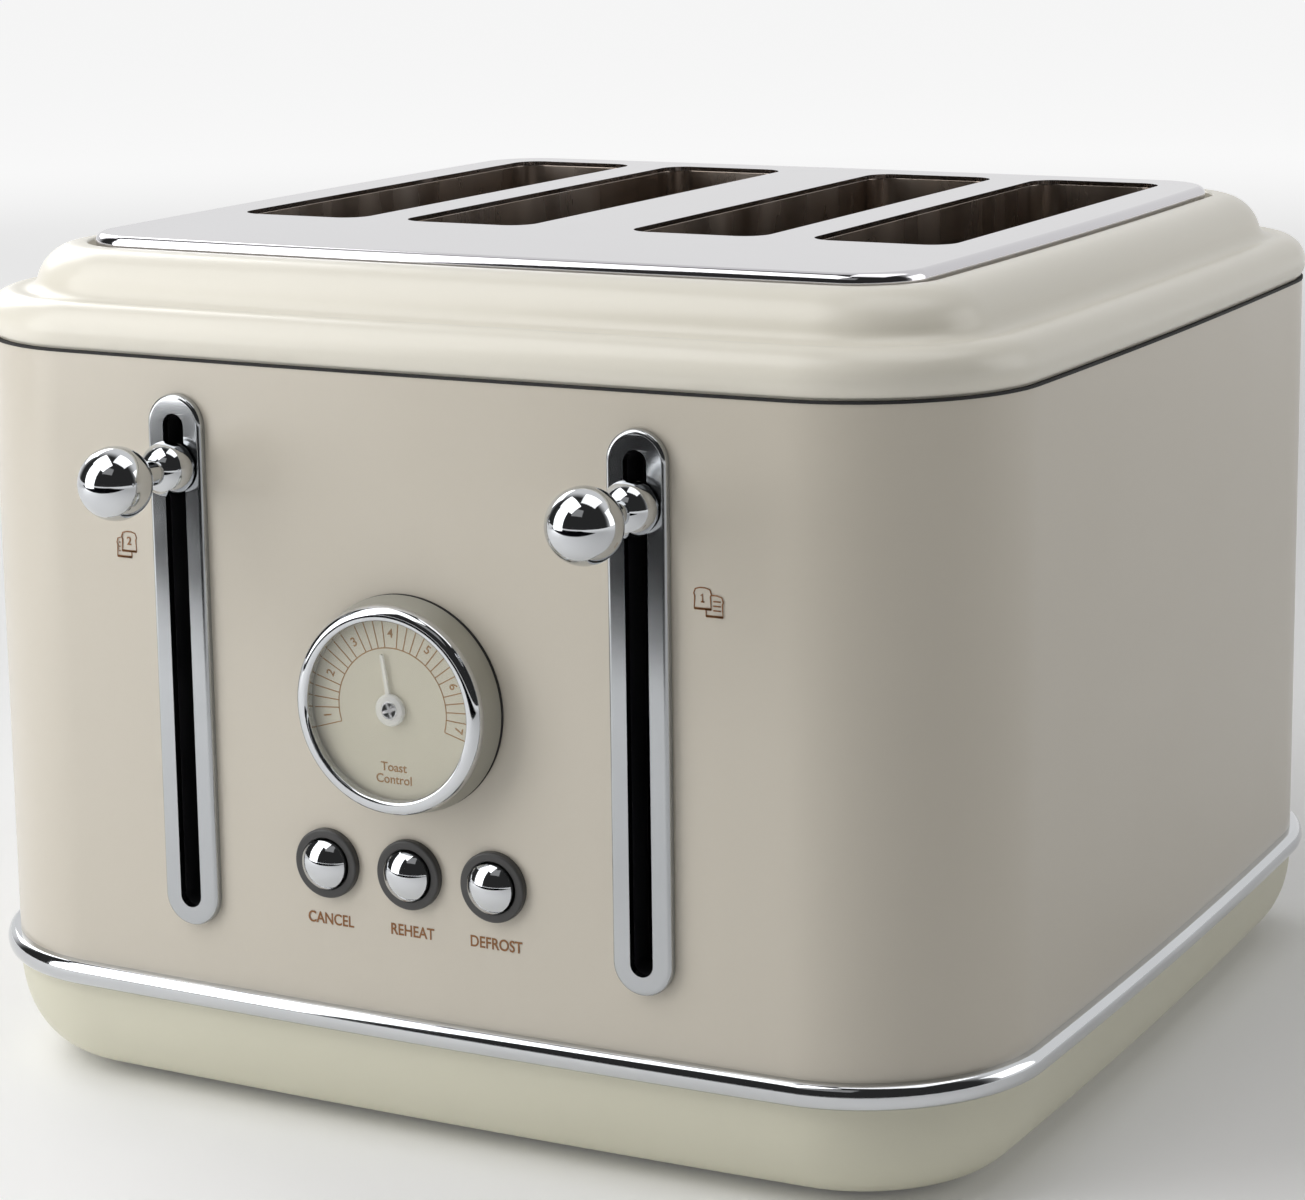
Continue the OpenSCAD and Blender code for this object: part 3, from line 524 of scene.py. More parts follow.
# the plan of the casing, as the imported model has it

casing = {
    "cornerRadius": 0.042, "frontBow": 0.0029, "sideBow": 0.003,
    "cornerSteps": 20, "sideSteps": 12,
    "wall": 0.0012, "topRounding": 0.00035,
}
shellLow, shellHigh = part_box("body_shell")
halfWidth = (shellHigh.x - shellLow.x) / 2
halfDepth = (shellHigh.y - shellLow.y) / 2
middleY = (shellHigh.y + shellLow.y) / 2
bandLow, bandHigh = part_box("chrome_band")
capLow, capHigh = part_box("top_cap")


def bowed(x, y):
    inX = math.copysign(casing["sideBow"], x) * (y / halfDepth) ** 2
    inY = math.copysign(casing["frontBow"], y) * (x / halfWidth) ** 2
    return x - inX, y - inY


def planPoints(out=0.0):
    # anticlockwise from the right, a step out or in from the wall
    steps, sideSteps = casing["cornerSteps"], casing["sideSteps"]
    corners = cornerArcs((0, 0), halfWidth, halfDepth, casing["cornerRadius"], steps)
    points = []
    for i, corner in enumerate(corners):
        turns = [90 * i + 90 * k / steps for k in range(steps + 1)]
        start, end = corner[-1], corners[(i + 1) % 4][0]
        for k in range(1, sideSteps):
            t = k / sideSteps
            corner.append((start[0] + (end[0] - start[0]) * t, start[1] + (end[1] - start[1]) * t))
            turns.append(90 * i + 90)
        for (x, y), turn in zip(corner, turns):
            bx, by = bowed(x, y)
            a = math.radians(turn)
            points.append((bx + out * math.cos(a), middleY + by + out * math.sin(a)))
    return points


def frontY(x):
    return middleY - halfDepth + casing["frontBow"] * (x / halfWidth) ** 2


def sweepRound(name, profile):
    # a closed section of (outwards, height) carried once round the casing
    ring = sweepAlong(lineCurve(name, planPoints()), lineCurve(name + "Section", profile))
    return smoothPiece(closeMesh(ring))


# casing wall with its openings

leverSlot = {"width": 0.006, "shroud": 0.0013}
frameLow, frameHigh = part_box("right_escutcheon")
leverX = (frameLow.x + frameHigh.x) / 2
frameWidth = frameHigh.x - frameLow.x
frameRim = (frameWidth - leverSlot["width"]) / 2


def leverOutline(x, grow):
    # the slot that the lever runs in, with its round ends
    low, high = frameLow.z + frameRim - grow, frameHigh.z - frameRim + grow
    width = leverSlot["width"] + 2 * grow
    return roundedOutline((x, (low + high) / 2), width, high - low, width / 2 - 1e-6, 14)


openings = {
    "dial": 0.011, "buttonSlack": 0.0004, "cutterDepth": 0.02, "inlet": 0.008,
    # a tray's opening against the tray: wider, higher, and its middle further up
    "trayWider": 0.0012, "trayHigher": 0.0029, "trayUp": 0.0012, "trayCorner": 0.001,
}


def hole(outline, y):
    cutter = flatPlate("cutter", [outline], openings["cutterDepth"])
    return standUp(cutter, (0, y, 0))


def roundOutline(centre, radius, steps=64):
    return arcPoints(centre, radius, 0, 360, steps)[:-1]


def makeCasing():
    bottom, top = shellLow.z, shellHigh.z
    r = casing["topRounding"]
    wall = casing["wall"]
    profile = [(-wall, bottom), (0, bottom)]
    profile += arcPoints((-r, top - r), r, 0, 90, 4)
    profile += arcPoints((-wall + r, top - r), r, 90, 180, 3)
    shell = sweepRound("casingWall", profile)
    front, back = shellLow.y, shellHigh.y
    cutters = [hole(leverOutline(s * leverX, leverSlot["shroud"]), front) for s in (-1, 1)]
    dialLow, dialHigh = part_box("dial_skirt")
    cutters.append(hole(roundOutline((0, (dialLow.z + dialHigh.z) / 2), openings["dial"]), front))
    for name in ("left_button", "middle_button", "right_button"):
        low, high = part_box(name)
        radius = (high.x - low.x) / 2 + openings["buttonSlack"]
        cutters.append(hole(roundOutline(middleXz(low, high), radius), front))
    for name in ("left_crumb_tray", "right_crumb_tray"):
        low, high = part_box(name)
        width = high.x - low.x + openings["trayWider"]
        height = high.z - low.z + openings["trayHigher"]
        x, z = middleXz(low, high)
        outline = roundedOutline((x, z + openings["trayUp"]), width, height, openings["trayCorner"], 4)
        cutters.append(hole(outline, back))
    low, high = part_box("cord_inlet")
    cutters.append(hole(roundOutline((0, (low.z + high.z) / 2), openings["inlet"]), back))
    cutAway(shell, cutters)
    smoothPiece(shell)
    give(shell, creamPaint, "housing", "cream_paint", "body_shell")


makeCasing()
print("casing wall done")

# cap: a bulge, a hollow and a shoulder, then the rim that holds the slot plate

cap = {
    "bulge": 0.0069, "hollow": 0.004, "shoulder": 0.0118, "overhang": 0.0007,
    "shoulderIn": -0.0235, "shoulderUp": 0.0102, "wall": 0.002,
    "rimIn": 0.0018, "rimEdge": 0.0007, "ledgeIn": 0.008, "ledgeDown": 0.0026,
    # where the bulge starts, in degrees, and how high its centre is, as a share of its radius
    "bulgeStart": -32, "bulgeUp": 0.55, "slack": 0.0005, "steps": 16,
}


def makeCap():
    seam = capHigh.z - cap["shoulderUp"] - cap["shoulder"]
    bulge = Vector((cap["overhang"] - cap["bulge"], seam + cap["bulgeUp"] * cap["bulge"]))
    shoulder = Vector((cap["shoulderIn"], seam + cap["shoulderUp"]))
    # the hollow's centre touches both arcs
    toBulge, toShoulder = cap["bulge"] + cap["hollow"], cap["shoulder"] + cap["hollow"]
    axis = shoulder - bulge
    along = (toBulge ** 2 - toShoulder ** 2 + axis.length_squared) / (2 * axis.length)
    off = math.sqrt(toBulge ** 2 - along ** 2)
    way = axis.normalized()
    aside = off * Vector((way.y, -way.x))
    hollow = bulge + along * way + aside
    if hollow.x <= min(bulge.x, shoulder.x):
        hollow = bulge + along * way - aside
    bulgeEnd = math.degrees(math.atan2(hollow.y - bulge.y, hollow.x - bulge.x))
    shoulderStart = math.degrees(math.atan2(hollow.y - shoulder.y, hollow.x - shoulder.x))
    steps = cap["steps"]
    rim = cap["shoulderIn"] - cap["rimIn"]
    crest, ledge, edge = capHigh.z, capHigh.z - cap["ledgeDown"], cap["rimEdge"]
    wall = cap["wall"]
    inset = casing["wall"]
    profile = arcPoints(bulge, cap["bulge"], cap["bulgeStart"], bulgeEnd, steps)
    profile += arcPoints(hollow, cap["hollow"], bulgeEnd + 180, shoulderStart + 180, steps // 2)[1:-1]
    profile += arcPoints(shoulder, cap["shoulder"], shoulderStart, 90, steps)
    profile += arcPoints((rim + edge, crest - edge), edge, 90, 180, 4)
    profile += [(rim, ledge), (rim - cap["ledgeIn"], ledge), (rim - cap["ledgeIn"], ledge - wall)]
    profile += [(rim + wall, ledge - wall), (rim + wall, crest - wall - cap["slack"])]
    profile += [(cap["shoulderIn"], crest - wall)]
    profile += arcPoints(shoulder, cap["shoulder"] - wall, 60, shoulderStart, 4)
    profile += arcPoints(bulge, cap["bulge"] - wall, bulgeEnd, 30, 3)
    profile += [(-inset - wall, seam + wall), (-inset - wall, capLow.z)]
    profile += [(-inset, capLow.z), (-inset, seam)]
    piece = sweepRound("capMoulding", profile)
    give(piece, capPaint, "housing", "cap_paint", "top_cap")


# how far the black ring of painted shade in the seam reaches in, out, below and above the top of the
# casing
seamShadeSpan = {"in": -0.001, "out": 0.00015, "low": 0.0006, "high": 0.00005}


def makeSeamShade():
    # a black ring set into the gap between the casing and the cap: painted shade standing in for the
    # shadow in the seam
    low, high = shellHigh.z - seamShadeSpan["low"], shellHigh.z + seamShadeSpan["high"]
    profile = [(seamShadeSpan["in"], low), (seamShadeSpan["out"], low), (seamShadeSpan["out"], high), (seamShadeSpan["in"], high)]
    ring = sweepRound("seamShadeRing", profile)
    give(ring, rubberAndShadeBlack, "housing", "black_plastic")


makeCap()
makeSeamShade()
print("cap done")

# moulded base and the bright band over it

base = {
    "draw": 0.017, "wall": 0.0025, "step": 0.002, "ledge": 0.008, "rim": 0.002, "steps": 24,
}


def bowlLine(inset, up):
    foot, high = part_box("base_shell")[0].z, bandLow.z - base["rim"]
    line = []
    for i in range(base["steps"] + 1):
        a = math.radians(90 * i / base["steps"])
        out = -(base["draw"] - inset) * (1 - math.cos(a)) - inset
        line.append((out, foot + up + (high - foot - up) * (1 - math.sin(a))))
    return line


def makeBase():
    low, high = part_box("base_shell")
    lip = -base["draw"] - base["step"]
    outer = bowlLine(0, 0)
    inner = bowlLine(base["wall"], base["wall"] + base["step"])
    profile = [(0, high.z)] + outer + [(lip, low.z), (lip, low.z + base["step"])]
    profile += [(lip - base["ledge"], low.z + base["step"])]
    profile += [(lip - base["ledge"], low.z + base["step"] + base["wall"])]
    profile += inner[::-1] + [(-base["wall"], high.z)]
    piece = sweepRound("bowlBase", profile)
    give(piece, basePlastic, "housing", "base_plastic", "base_shell")


band = {"out": 0.0034, "hold": 0.35, "turn": 82, "steps": 24}


def makeBand():
    half = (bandHigh.z - bandLow.z) / 2
    profile = [(0, bandHigh.z), (0, bandLow.z)]
    for i in range(band["steps"] + 1):
        a = math.radians(-band["turn"] + 2 * band["turn"] * i / band["steps"])
        out = band["out"] * (band["hold"] + (1 - band["hold"]) * math.cos(a))
        profile.append((out, bandLow.z + half + half * math.sin(a)))
    piece = sweepRound("trimBand", profile)
    give(piece, brightChrome, "housing", "chrome", "chrome_band")


makeBase()
makeBand()
print("base and band done")

# slot plate: a rolled rim round a mirror sheet, with four slots for the slices

plate = {"rolled": 0.0022, "sheet": 0.0012, "slotRounding": 0.007, "slotEdge": 0.0005}


def makeSlotPlate():
    low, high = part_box("slot_plate")
    out = -(halfWidth - high.x)
    depth = high.z - low.z
    piece = flatPlate("slotPlate", [planPoints(out)], depth, plate["rolled"], 5)
    piece.location.z = (low.z + high.z) / 2
    settle(piece)
    pocket = flatPlate("cutter", [planPoints(out - plate["sheet"] - plate["rolled"])], depth)
    pocket.location.z = (low.z + high.z) / 2 - plate["sheet"]
    settle(pocket)
    cutters = [pocket]
    for centre in slotCentres():
        outline = roundedOutline(centre, *slotSize(), plate["slotRounding"], 12)
        cutter = flatPlate("cutter", [outline], 3 * depth)
        cutter.location.z = high.z
        cutters.append(settle(cutter))
    cutAway(piece, cutters)
    softEdges(piece, plate["slotEdge"], 3)
    smoothPiece(piece)
    give(piece, deckSteel, "housing", "polished_steel", "slot_plate")


liners = {"wall": 0.0008, "edge": 0.0002}
slots = {"width": 0.038, "pitch": 0.0505}


def slotSize():
    low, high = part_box("slot_liners")
    return slots["width"], high.y - low.y - 2 * liners["wall"]


def slotCentres():
    low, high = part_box("slot_liners")
    outer = high.x - liners["wall"] - slots["width"] / 2
    y = (low.y + high.y) / 2
    return [(s * (outer - k * slots["pitch"]), y) for s in (-1, 1) for k in (0, 1)]


def makeLiners():
    low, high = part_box("slot_liners")
    wall = liners["wall"]
    width, length = slotSize()
    walls = []
    radius = plate["slotRounding"]
    for centre in slotCentres():
        outer = roundedOutline(centre, width + 2 * wall, length + 2 * wall, radius + wall, 12)
        inner = roundedOutline(centre, width, length, radius, 12)
        walls.append(flatPlate("slotLiner", [outer, inner], high.z - low.z, liners["edge"], 1))
        walls[-1].location.z = (low.z + high.z) / 2
        settle(walls[-1])
    piece = smoothPiece(joinPieces("slotLiners", walls))
    give(piece, linerSteel, "housing", "liner_steel", "slot_liners")


makeSlotPlate()
makeLiners()
print("slot plate and liners done")

# lever frames, stems and ball knobs

leverFrame = {"outerEdge": 0.0011, "innerEdge": 0.00045, "behind": 0.01}


def makeLeverFrame(side, sign):
    low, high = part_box(side + "_escutcheon")
    centre = (sign * leverX, (low.z + high.z) / 2)
    outer = roundedOutline(centre, frameWidth, high.z - low.z, frameWidth / 2 - 1e-6, 24)
    thick = 2 * (high.y - low.y)
    piece = flatPlate(side + "LeverFrame", [outer], thick, leverFrame["outerEdge"], 5)
    standUp(piece, (0, high.y, 0))
    # what would stand in the wall is cut off
    around = roundedOutline(centre, 2 * frameWidth, 2 * (high.z - low.z), 0.001, 2)
    behind = hole(around, high.y + leverFrame["behind"])
    cutAway(piece, [behind, hole(leverOutline(sign * leverX, 0), low.y)])
    softEdges(piece, leverFrame["innerEdge"], 3)
    smoothPiece(piece)
    give(piece, frameChrome, "housing", "escutcheon_chrome", side + "_escutcheon")


lever = {
    "ball": 0.009, "reach": 0.0264, "collar": 0.00675, "collarOut": 0.005,
    "collarBack": 0.0028, "neck": 0.0032, "stem": 0.0026, "inside": 0.036, "tipIn": 0.0012,
}


def makeLever(side, sign):
    low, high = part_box(side + "_ball_knob")
    ball, neck, collar, stem = (lever[k] for k in ("ball", "neck", "collar", "stem"))
    centre = (sign * leverX, 0, (low.z + high.z) / 2)
    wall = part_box(side + "_escutcheon")[1].y
    foot = (centre[0], wall, centre[2])
    start = math.degrees(math.acos(neck / ball))
    profile = arcPoints((0, lever["reach"]), ball, 90, -start, 40)
    profile = [(abs(r) if abs(r) > 1e-7 else 0, out) for r, out in profile]
    knob = turnPiece(side + "BallKnob", profile + [(0, profile[-1][1])], foot)
    give(knob, brightChrome, side + "_lever", "chrome", side + "_ball_knob")
    out = lever["collarOut"]
    tip = lever["reach"] - ball + lever["tipIn"]
    end = math.degrees(math.acos(neck / collar))
    begin = math.degrees(math.asin((out - lever["collarBack"]) / collar))
    profile = [(0, tip), (neck, tip)]
    profile += arcPoints((0, out), collar, end, -begin, 32)
    profile += [(stem, lever["collarBack"]), (stem, -lever["inside"]), (0, -lever["inside"])]
    rod = turnPiece(side + "LeverStem", profile, foot, 80)
    give(rod, brightChrome, side + "_lever", "chrome", side + "_stem")


for side, sign in (("left", -1), ("right", 1)):
    makeLeverFrame(side, sign)
    makeLever(side, sign)
print("levers done")

# dial: card with its scale, clear needle, glass, bright rim and satin cup

dial = {
    "glass": 0.0219, "glassEdge": 0.0001, "rimEdge": 0.0022, "rimInner": 0.0009,
    # the last two numbers below place the black ring of painted shade between the cup and the wall
    "cupWall": 0.002, "taper": 0.0003, "shadeRingGap": 0.00008, "shadeRingIn": 0.0001,
    # the cup's flared back edge, as (inwards, forwards) from its widest place
    "flare": ((0.0002, 0.0008), (0.0001, 0.0003), (0.0005, 0)),
}
rimLow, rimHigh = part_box("dial_bezel")
cardLow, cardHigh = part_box("dial_face")
glassLow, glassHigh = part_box("dial_lens")
dialZ = (rimLow.z + rimHigh.z) / 2
dialRadius = (rimHigh.x - rimLow.x) / 2


def dialPlace(y):
    return (0, y, dialZ)


def makeDialCase():
    height = rimHigh.y - rimLow.y
    edge = dial["rimEdge"]
    profile = [(dial["glass"], 0), (dialRadius, 0)]
    profile += arcPoints((dialRadius - edge, height - edge), edge, 0, 90, 12)
    inner = dial["rimInner"]
    profile += arcPoints((dial["glass"] + inner, height - inner), inner, 90, 180, 8)
    profile += [(dial["glass"], 0)]
    rim = turnPiece("dialRim", profile, dialPlace(rimHigh.y), 128)
    give(rim, brightChrome, "dial", "chrome", "dial_bezel")
    cupLow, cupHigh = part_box("dial_skirt")
    depth = cupHigh.y - cupLow.y
    wide, inner = (cupHigh.x - cupLow.x) / 2, dialRadius - dial["cupWall"]
    low = wide - dial["cupWall"]
    profile = [(low, 0), (inner, depth), (dialRadius - dial["taper"], depth)]
    profile += [(wide - inwards, out) for inwards, out in dial["flare"]] + [(low, 0)]
    cup = turnPiece("dialCup", profile, dialPlace(cupHigh.y), 128)
    give(cup, satinMetal, "dial", "dial_satin", "dial_skirt")
    # a black ring set into the gap between the cup and the wall: painted shade standing in for the shadow
    # in that gap
    back, wide = frontY(0), wide - dial["shadeRingIn"]
    thick = back - (cupHigh.y + dial["shadeRingGap"])
    profile = [(low, 0), (low, thick), (wide, thick), (wide, 0), (low, 0)]
    ring = turnPiece("dialGapShade", profile, dialPlace(back), 128)
    give(ring, rubberAndShadeBlack, "housing", "black_plastic")
    radius, edge = (glassHigh.x - glassLow.x) / 2, dial["glassEdge"]
    thick = glassHigh.y - glassLow.y
    profile = [(0, 0), (radius - edge, 0), (radius, edge), (radius, thick - edge)]
    profile += [(radius - edge, thick), (0, thick)]
    lens = turnPiece("dialGlass", profile, dialPlace(glassHigh.y))
    give(lens, clearGlass, "dial", "dial_glass", "dial_lens")


dialPlate = {"thick": 0.001, "shaft": 0.0031, "boss": 0.011, "bossWall": 0.0025, "edge": 0.0002}


def makeDialCard():
    # a thin plate in front of the boss that carries it, with a hole for the shaft
    radius = (cardHigh.x - cardLow.x) / 2
    shaft, boss, edge = (dialPlate[k] for k in ("shaft", "boss", "edge"))
    front = cardHigh.y - cardLow.y
    back, inner = front - dialPlate["thick"], boss - dialPlate["bossWall"]
    profile = [(shaft, front), (radius - edge, front), (radius, front - edge), (radius, back)]
    profile += [(boss, back), (boss, 0), (inner, 0), (inner, back), (shaft, back), (shaft, front)]
    card = turnPiece("dialCard", profile, dialPlace(cardHigh.y), 128)
    give(card, dialCard, "housing", "dial_print", "dial_face")


dialScale = {
    "inner": 0.0149, "outer": 0.0218, "line": 0.00027, "lineGap": 0.00003, "arcSteps": 90,
    # seven numbers, their turn from one to the next, half the turn of a number's cell, and both ends
    "numbers": 7, "pitch": 33.4, "cell": 6.0, "first": -107, "last": 106,
    "numberAt": 0.0184, "number": 0.0031,
    "words": (("Toast", 0.0143), ("Control", 0.0173)), "wordSize": 0.0031,
}


def tickOutline(turn, start, end):
    # a thin line along a radius, turned clockwise from straight up
    half = dialScale["line"] / 2
    return turned([(-half, start), (-half, end), (half, end), (half, start)], -turn)


def arcStrip(first, last):
    radius, line, steps = (dialScale[k] for k in ("inner", "line", "arcSteps"))
    outer = arcPoints((0, 0), radius + line / 2, 90 - first, 90 - last, steps)
    return outer + arcPoints((0, 0), radius - line / 2, 90 - last, 90 - first, steps)


ink = {"thick": 0.00006, "bolder": 0.014, "curveSteps": 6}


def inkWord(name, words, size, place, turn=0.0, narrow=1.0):
    bpy.ops.object.text_add()
    word = bpy.context.object
    word.name = name
    word.data.body = words
    word.data.size = size
    word.data.align_x = "CENTER"
    word.data.align_y = "CENTER"
    word.data.extrude = ink["thick"] / 2
    word.data.offset = size * ink["bolder"]
    word.data.resolution_u = ink["curveSteps"]
    word = asMesh(word)
    word.rotation_euler = (0, 0, -math.radians(turn))
    word.scale = (narrow, 1, 1)
    settle(word)
    return standUp(closeMesh(word), place)


def makeDialScale():
    y = cardLow.y - ink["thick"] / 2
    pitch, cell = dialScale["pitch"], dialScale["cell"]
    last = dialScale["numbers"] // 2
    numbers = range(-last, last + 1)
    turns = [k * pitch + side for k in numbers for side in (-cell, cell)]
    third = (pitch - 2 * cell) / 3
    turns += [k * pitch + cell + third * n for k in numbers[:-1] for n in (1, 2)]
    turns = sorted(turns)
    turns[0], turns[-1] = dialScale["first"], dialScale["last"]
    start = dialScale["inner"] + dialScale["line"] / 2 + dialScale["lineGap"]
    outlines = [tickOutline(turn, start, dialScale["outer"]) for turn in turns]
    outlines.append(arcStrip(turns[0], turns[-1]))
    parts = [standUp(flatPlate("dialScale", outlines, ink["thick"]), (0, y, dialZ))]
    for k in numbers:
        a, out = math.radians(k * pitch), dialScale["numberAt"]
        at = (math.sin(a) * out, y, dialZ + math.cos(a) * out)
        parts.append(inkWord("number", str(k + last + 1), dialScale["number"], at, k * pitch))
    for word, drop in dialScale["words"]:
        parts.append(inkWord("words", word, dialScale["wordSize"], (0, y, dialZ - drop)))
    scale = joinPieces("dialScale", parts)
    give(scale, dialInk, "housing", "dial_print")


needle = {
    "hub": 0.0039, "hole": 0.0022, "frontEdge": 0.0002, "backEdge": 0.0003, "length": 0.0136,
    "turn": -9, "half": 0.00055, "tipHalf": 0.00042, "tip": 0.0003, "inHub": 0.0006,
    "thick": 0.0008, "edge": 0.00015,
}


def makeNeedle():
    low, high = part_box("dial_pointer")
    hub, hole, length = (needle[k] for k in ("hub", "hole", "length"))
    deep, edge, shy = high.y - low.y, needle["frontEdge"], needle["backEdge"]
    profile = [(hole, 0), (hub - edge, 0), (hub, edge), (hub, deep - shy)]
    profile += [(hub - shy, deep), (hole, deep), (hole, 0)]
    disc = turnPiece("dialNeedle", profile, dialPlace(high.y), 64)
    half, tipHalf, tipAt = needle["half"], needle["tipHalf"], length - needle["tip"]
    outline = [(-half, hub - needle["inHub"]), (half, hub - needle["inHub"]), (tipHalf, tipAt)]
    outline += [(0, length), (-tipHalf, tipAt)]
    outline = turned(outline, -needle["turn"])
    hand = flatPlate("hand", [outline[::-1]], needle["thick"], needle["edge"], 2)
    standUp(hand, dialPlace(high.y - needle["thick"] / 2))
    pointer = joinPieces("dialNeedle", [disc, smoothPiece(hand)])
    give(pointer, frostedClear, "dial", "pointer_clear", "dial_pointer")


hubCross = {
    "radius": 0.0021, "height": 0.0015, "edge": 0.0003, "turns": (20, 110),
    "longer": 0.001, "cut": 0.0007, "corner": 0.0002, "deep": 0.001,
}


def makeHubCross():
    # the small bright cross-cut end of the shaft, seen in the hub
    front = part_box("dial_shaft")[0].y
    radius, height, edge = (hubCross[k] for k in ("radius", "height", "edge"))
    profile = [(0, 0), (radius, 0), (radius, height - edge), (radius - edge, height), (0, height)]
    end = turnPiece("hubCross", profile, (0, front + height, dialZ), 48)
    length = 2 * radius + hubCross["longer"]
    bar = roundedOutline((0, 0), length, hubCross["cut"], hubCross["corner"], 2)
    cuts = [flatPlate("cutter", [turned(bar, turn)], hubCross["deep"]) for turn in hubCross["turns"]]
    cutAway(end, [standUp(cut, (0, front, dialZ)) for cut in cuts])
    smoothPiece(end)
    give(end, springWire, "dial", "chrome")


makeDialCase()
makeDialCard()
makeDialScale()
makeNeedle()
makeHubCross()
print("dial done")

# three push buttons in their rings

button = {
    "dome": 0.0026, "out": 0.0028, "depth": 0.004, "edge": 0.0002, "steps": 20,
    "stem": 0.0022, "stemEnd": 0.014,
}


def makeButton(side):
    low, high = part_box(side + "_button")
    radius = (high.x - low.x) / 2
    x, z = middleXz(low, high)
    centre = (x, shellLow.y, z)
    ball = (radius ** 2 + button["dome"] ** 2) / (2 * button["dome"])
    top = button["out"] + button["dome"]
    rim = math.degrees(math.asin(radius / ball))
    profile = arcPoints((0, top - ball), ball, 90, 90 - rim, button["steps"])
    profile[0] = (0, top)
    stem, back, end = button["stem"], -button["depth"], -button["stemEnd"]
    profile += [(radius, button["out"] - button["edge"]), (radius, back)]
    profile += [(stem, back), (stem, end), (0, end)]
    dome = turnPiece(side + "Button", profile, centre, 72)
    give(dome, brightChrome, side + "_button_cap", "chrome", side + "_button")
    return centre


buttonRing = {"inner": 0.0064, "outer": 0.0087, "out": 0.0018, "edge": 0.0006, "innerEdge": 0.0003}


def makeButtonRings(centres):
    inner, outer, out, edge = (buttonRing[k] for k in ("inner", "outer", "out", "edge"))
    slope = buttonRing["innerEdge"]
    profile = [(inner, 0), (inner, out - slope), (inner + slope, out)]
    profile += arcPoints((outer - edge, out - edge), edge, 90, 0, 6)
    profile += [(outer, 0), (inner, 0)]
    first = turnPiece("buttonRings", profile, centres[0], 72)
    rings = [copyPiece(first, Vector(centre) - Vector(centres[0])) for centre in centres[1:]]
    piece = joinPieces("buttonRings", [first] + rings)
    give(piece, ringPlastic, "housing", "ring_plastic", "button_rings")


buttonCentres = [makeButton(side) for side in ("left", "middle", "right")]
makeButtonRings(buttonCentres)
print("buttons done")

# printed words and slice marks on the front

printing = {
    "words": ("CANCEL", "REHEAT", "DEFROST"), "size": 0.0040, "narrow": 0.86, "drop": 0.0146,
    "wordsOut": 0.00005, "markX": 0.0805, "markZ": 0.145, "marksOut": 0.00007,
    "number": 0.0029, "penHeight": 0.00006,
}


def strokePlate(name, lines, width, place):
    # lines of (x, z) points drawn with an even pen
    marks = []
    w, h = width / 2, printing["penHeight"] / 2
    for points, closed in lines:
        curve = lineCurve(name, [(x, z, 0) for x, z in points], closed)
        curve.data.use_fill_caps = not closed
        pen = lineCurve(name + "Pen", [(-w, -h), (w, -h), (w, h), (-w, h)])
        marks.append(sweepAlong(curve, pen))
    piece = closeMesh(joinPieces(name, marks))
    return standUp(piece, place)


mark = {
    "width": 0.0043, "height": 0.0049, "line": 0.0003, "bottom": 0.00055,
    "shift": {-1: (0.0015, 0.0015), 1: (0.0030, 0.0016)},
    # a slice's outline, as shares of half its width and of its height
    "outline": ((-1, 0), (1, 0), (0.92, 0.58), (1.04, 0.72), (0.86, 0.93), (0.3, 1),
                (-0.3, 1), (-0.86, 0.93), (-1.04, 0.72), (-0.92, 0.58)),
    # heights of the short lines on the slice behind, as shares of a slice, and their room at both ends
    "hatch": (0.28, 0.50, 0.72), "hatchRoom": 0.00055,
    "one": ((-0.00045, 0.00055), (0.0, 0.00095), (0.0, -0.00085)), "foot": 0.00045,
}


def breadOutline(x, z, sign):
    # a slice of bread seen from the front, its lower inner corner first
    w, h = sign * mark["width"] / 2, mark["height"]
    return [(x + w * across, z + h * up) for across, up in mark["outline"]]


def makeSliceMark(sign, number):
    # two slices, the numbered one in front and nearer the middle of the toaster
    w, h = mark["width"] / 2, mark["height"]
    dx, dz = mark["shift"][sign]
    x, z = -sign * dx / 2, dz / 2 - h / 2
    bx, bz = sign * dx / 2, -dz / 2 - h / 2
    centre = sign * printing["markX"]
    place = (centre, frontY(centre) - printing["marksOut"], printing["markZ"])
    behind = breadOutline(bx, bz, sign)[:6]
    behind = [(bx - sign * w, z)] + behind + [(x + sign * w, bz + h)]
    thin = [(breadOutline(x, z, sign), True), (behind, False)]
    for share in mark["hatch"]:
        ends = (x + sign * (w + mark["hatchRoom"]), bx + sign * (w - mark["hatchRoom"]))
        thin.append(([(end, bz + share * h) for end in ends], False))
    middle = z + h * 0.5
    if number == "1":
        one = [(x + px, middle + pz) for px, pz in mark["one"]]
        under, level = one[-1]
        thin.append((one, False))
        thin.append(([(under - mark["foot"], level), (under + mark["foot"], level)], False))
    thick = [([(x - w, z), (x + w, z)], False), ([(bx - w, bz), (bx + w, bz)], False)]
    lines = [strokePlate("markLines", thin, mark["line"], place)]
    lines.append(strokePlate("markFeet", thick, mark["bottom"], place))
    if number != "1":
        at = (centre + x, place[1], place[2] + middle)
        lines.append(inkWord("number", number, printing["number"], at))
    return lines


def makeFrontPrint():
    parts = []
    size, narrow = printing["size"], printing["narrow"]
    for words, centre in zip(printing["words"], buttonCentres):
        y = frontY(centre[0]) - printing["wordsOut"]
        place = (centre[0], y, centre[2] - printing["drop"])
        parts.append(inkWord("words", words, size, place, narrow=narrow))
    for sign, number in ((-1, "2"), (1, "1")):
        parts += makeSliceMark(sign, number)
    piece = joinPieces("frontPrint", parts)
    give(piece, frontInk, "housing", "dial_print")


makeFrontPrint()
print("front print done")

# feet, inlet and tray handles

foot = {
    "radius": 0.0095, "taper": 0.0015, "edge": 0.0006, "hole": 0.002,
    # the well for the screw head, and the last steps of the side under the base
    "head": 0.004, "well": 0.0016, "mouth": 0.0004, "top": ((0.0002, 0.0006), (0.0005, 0)),
}


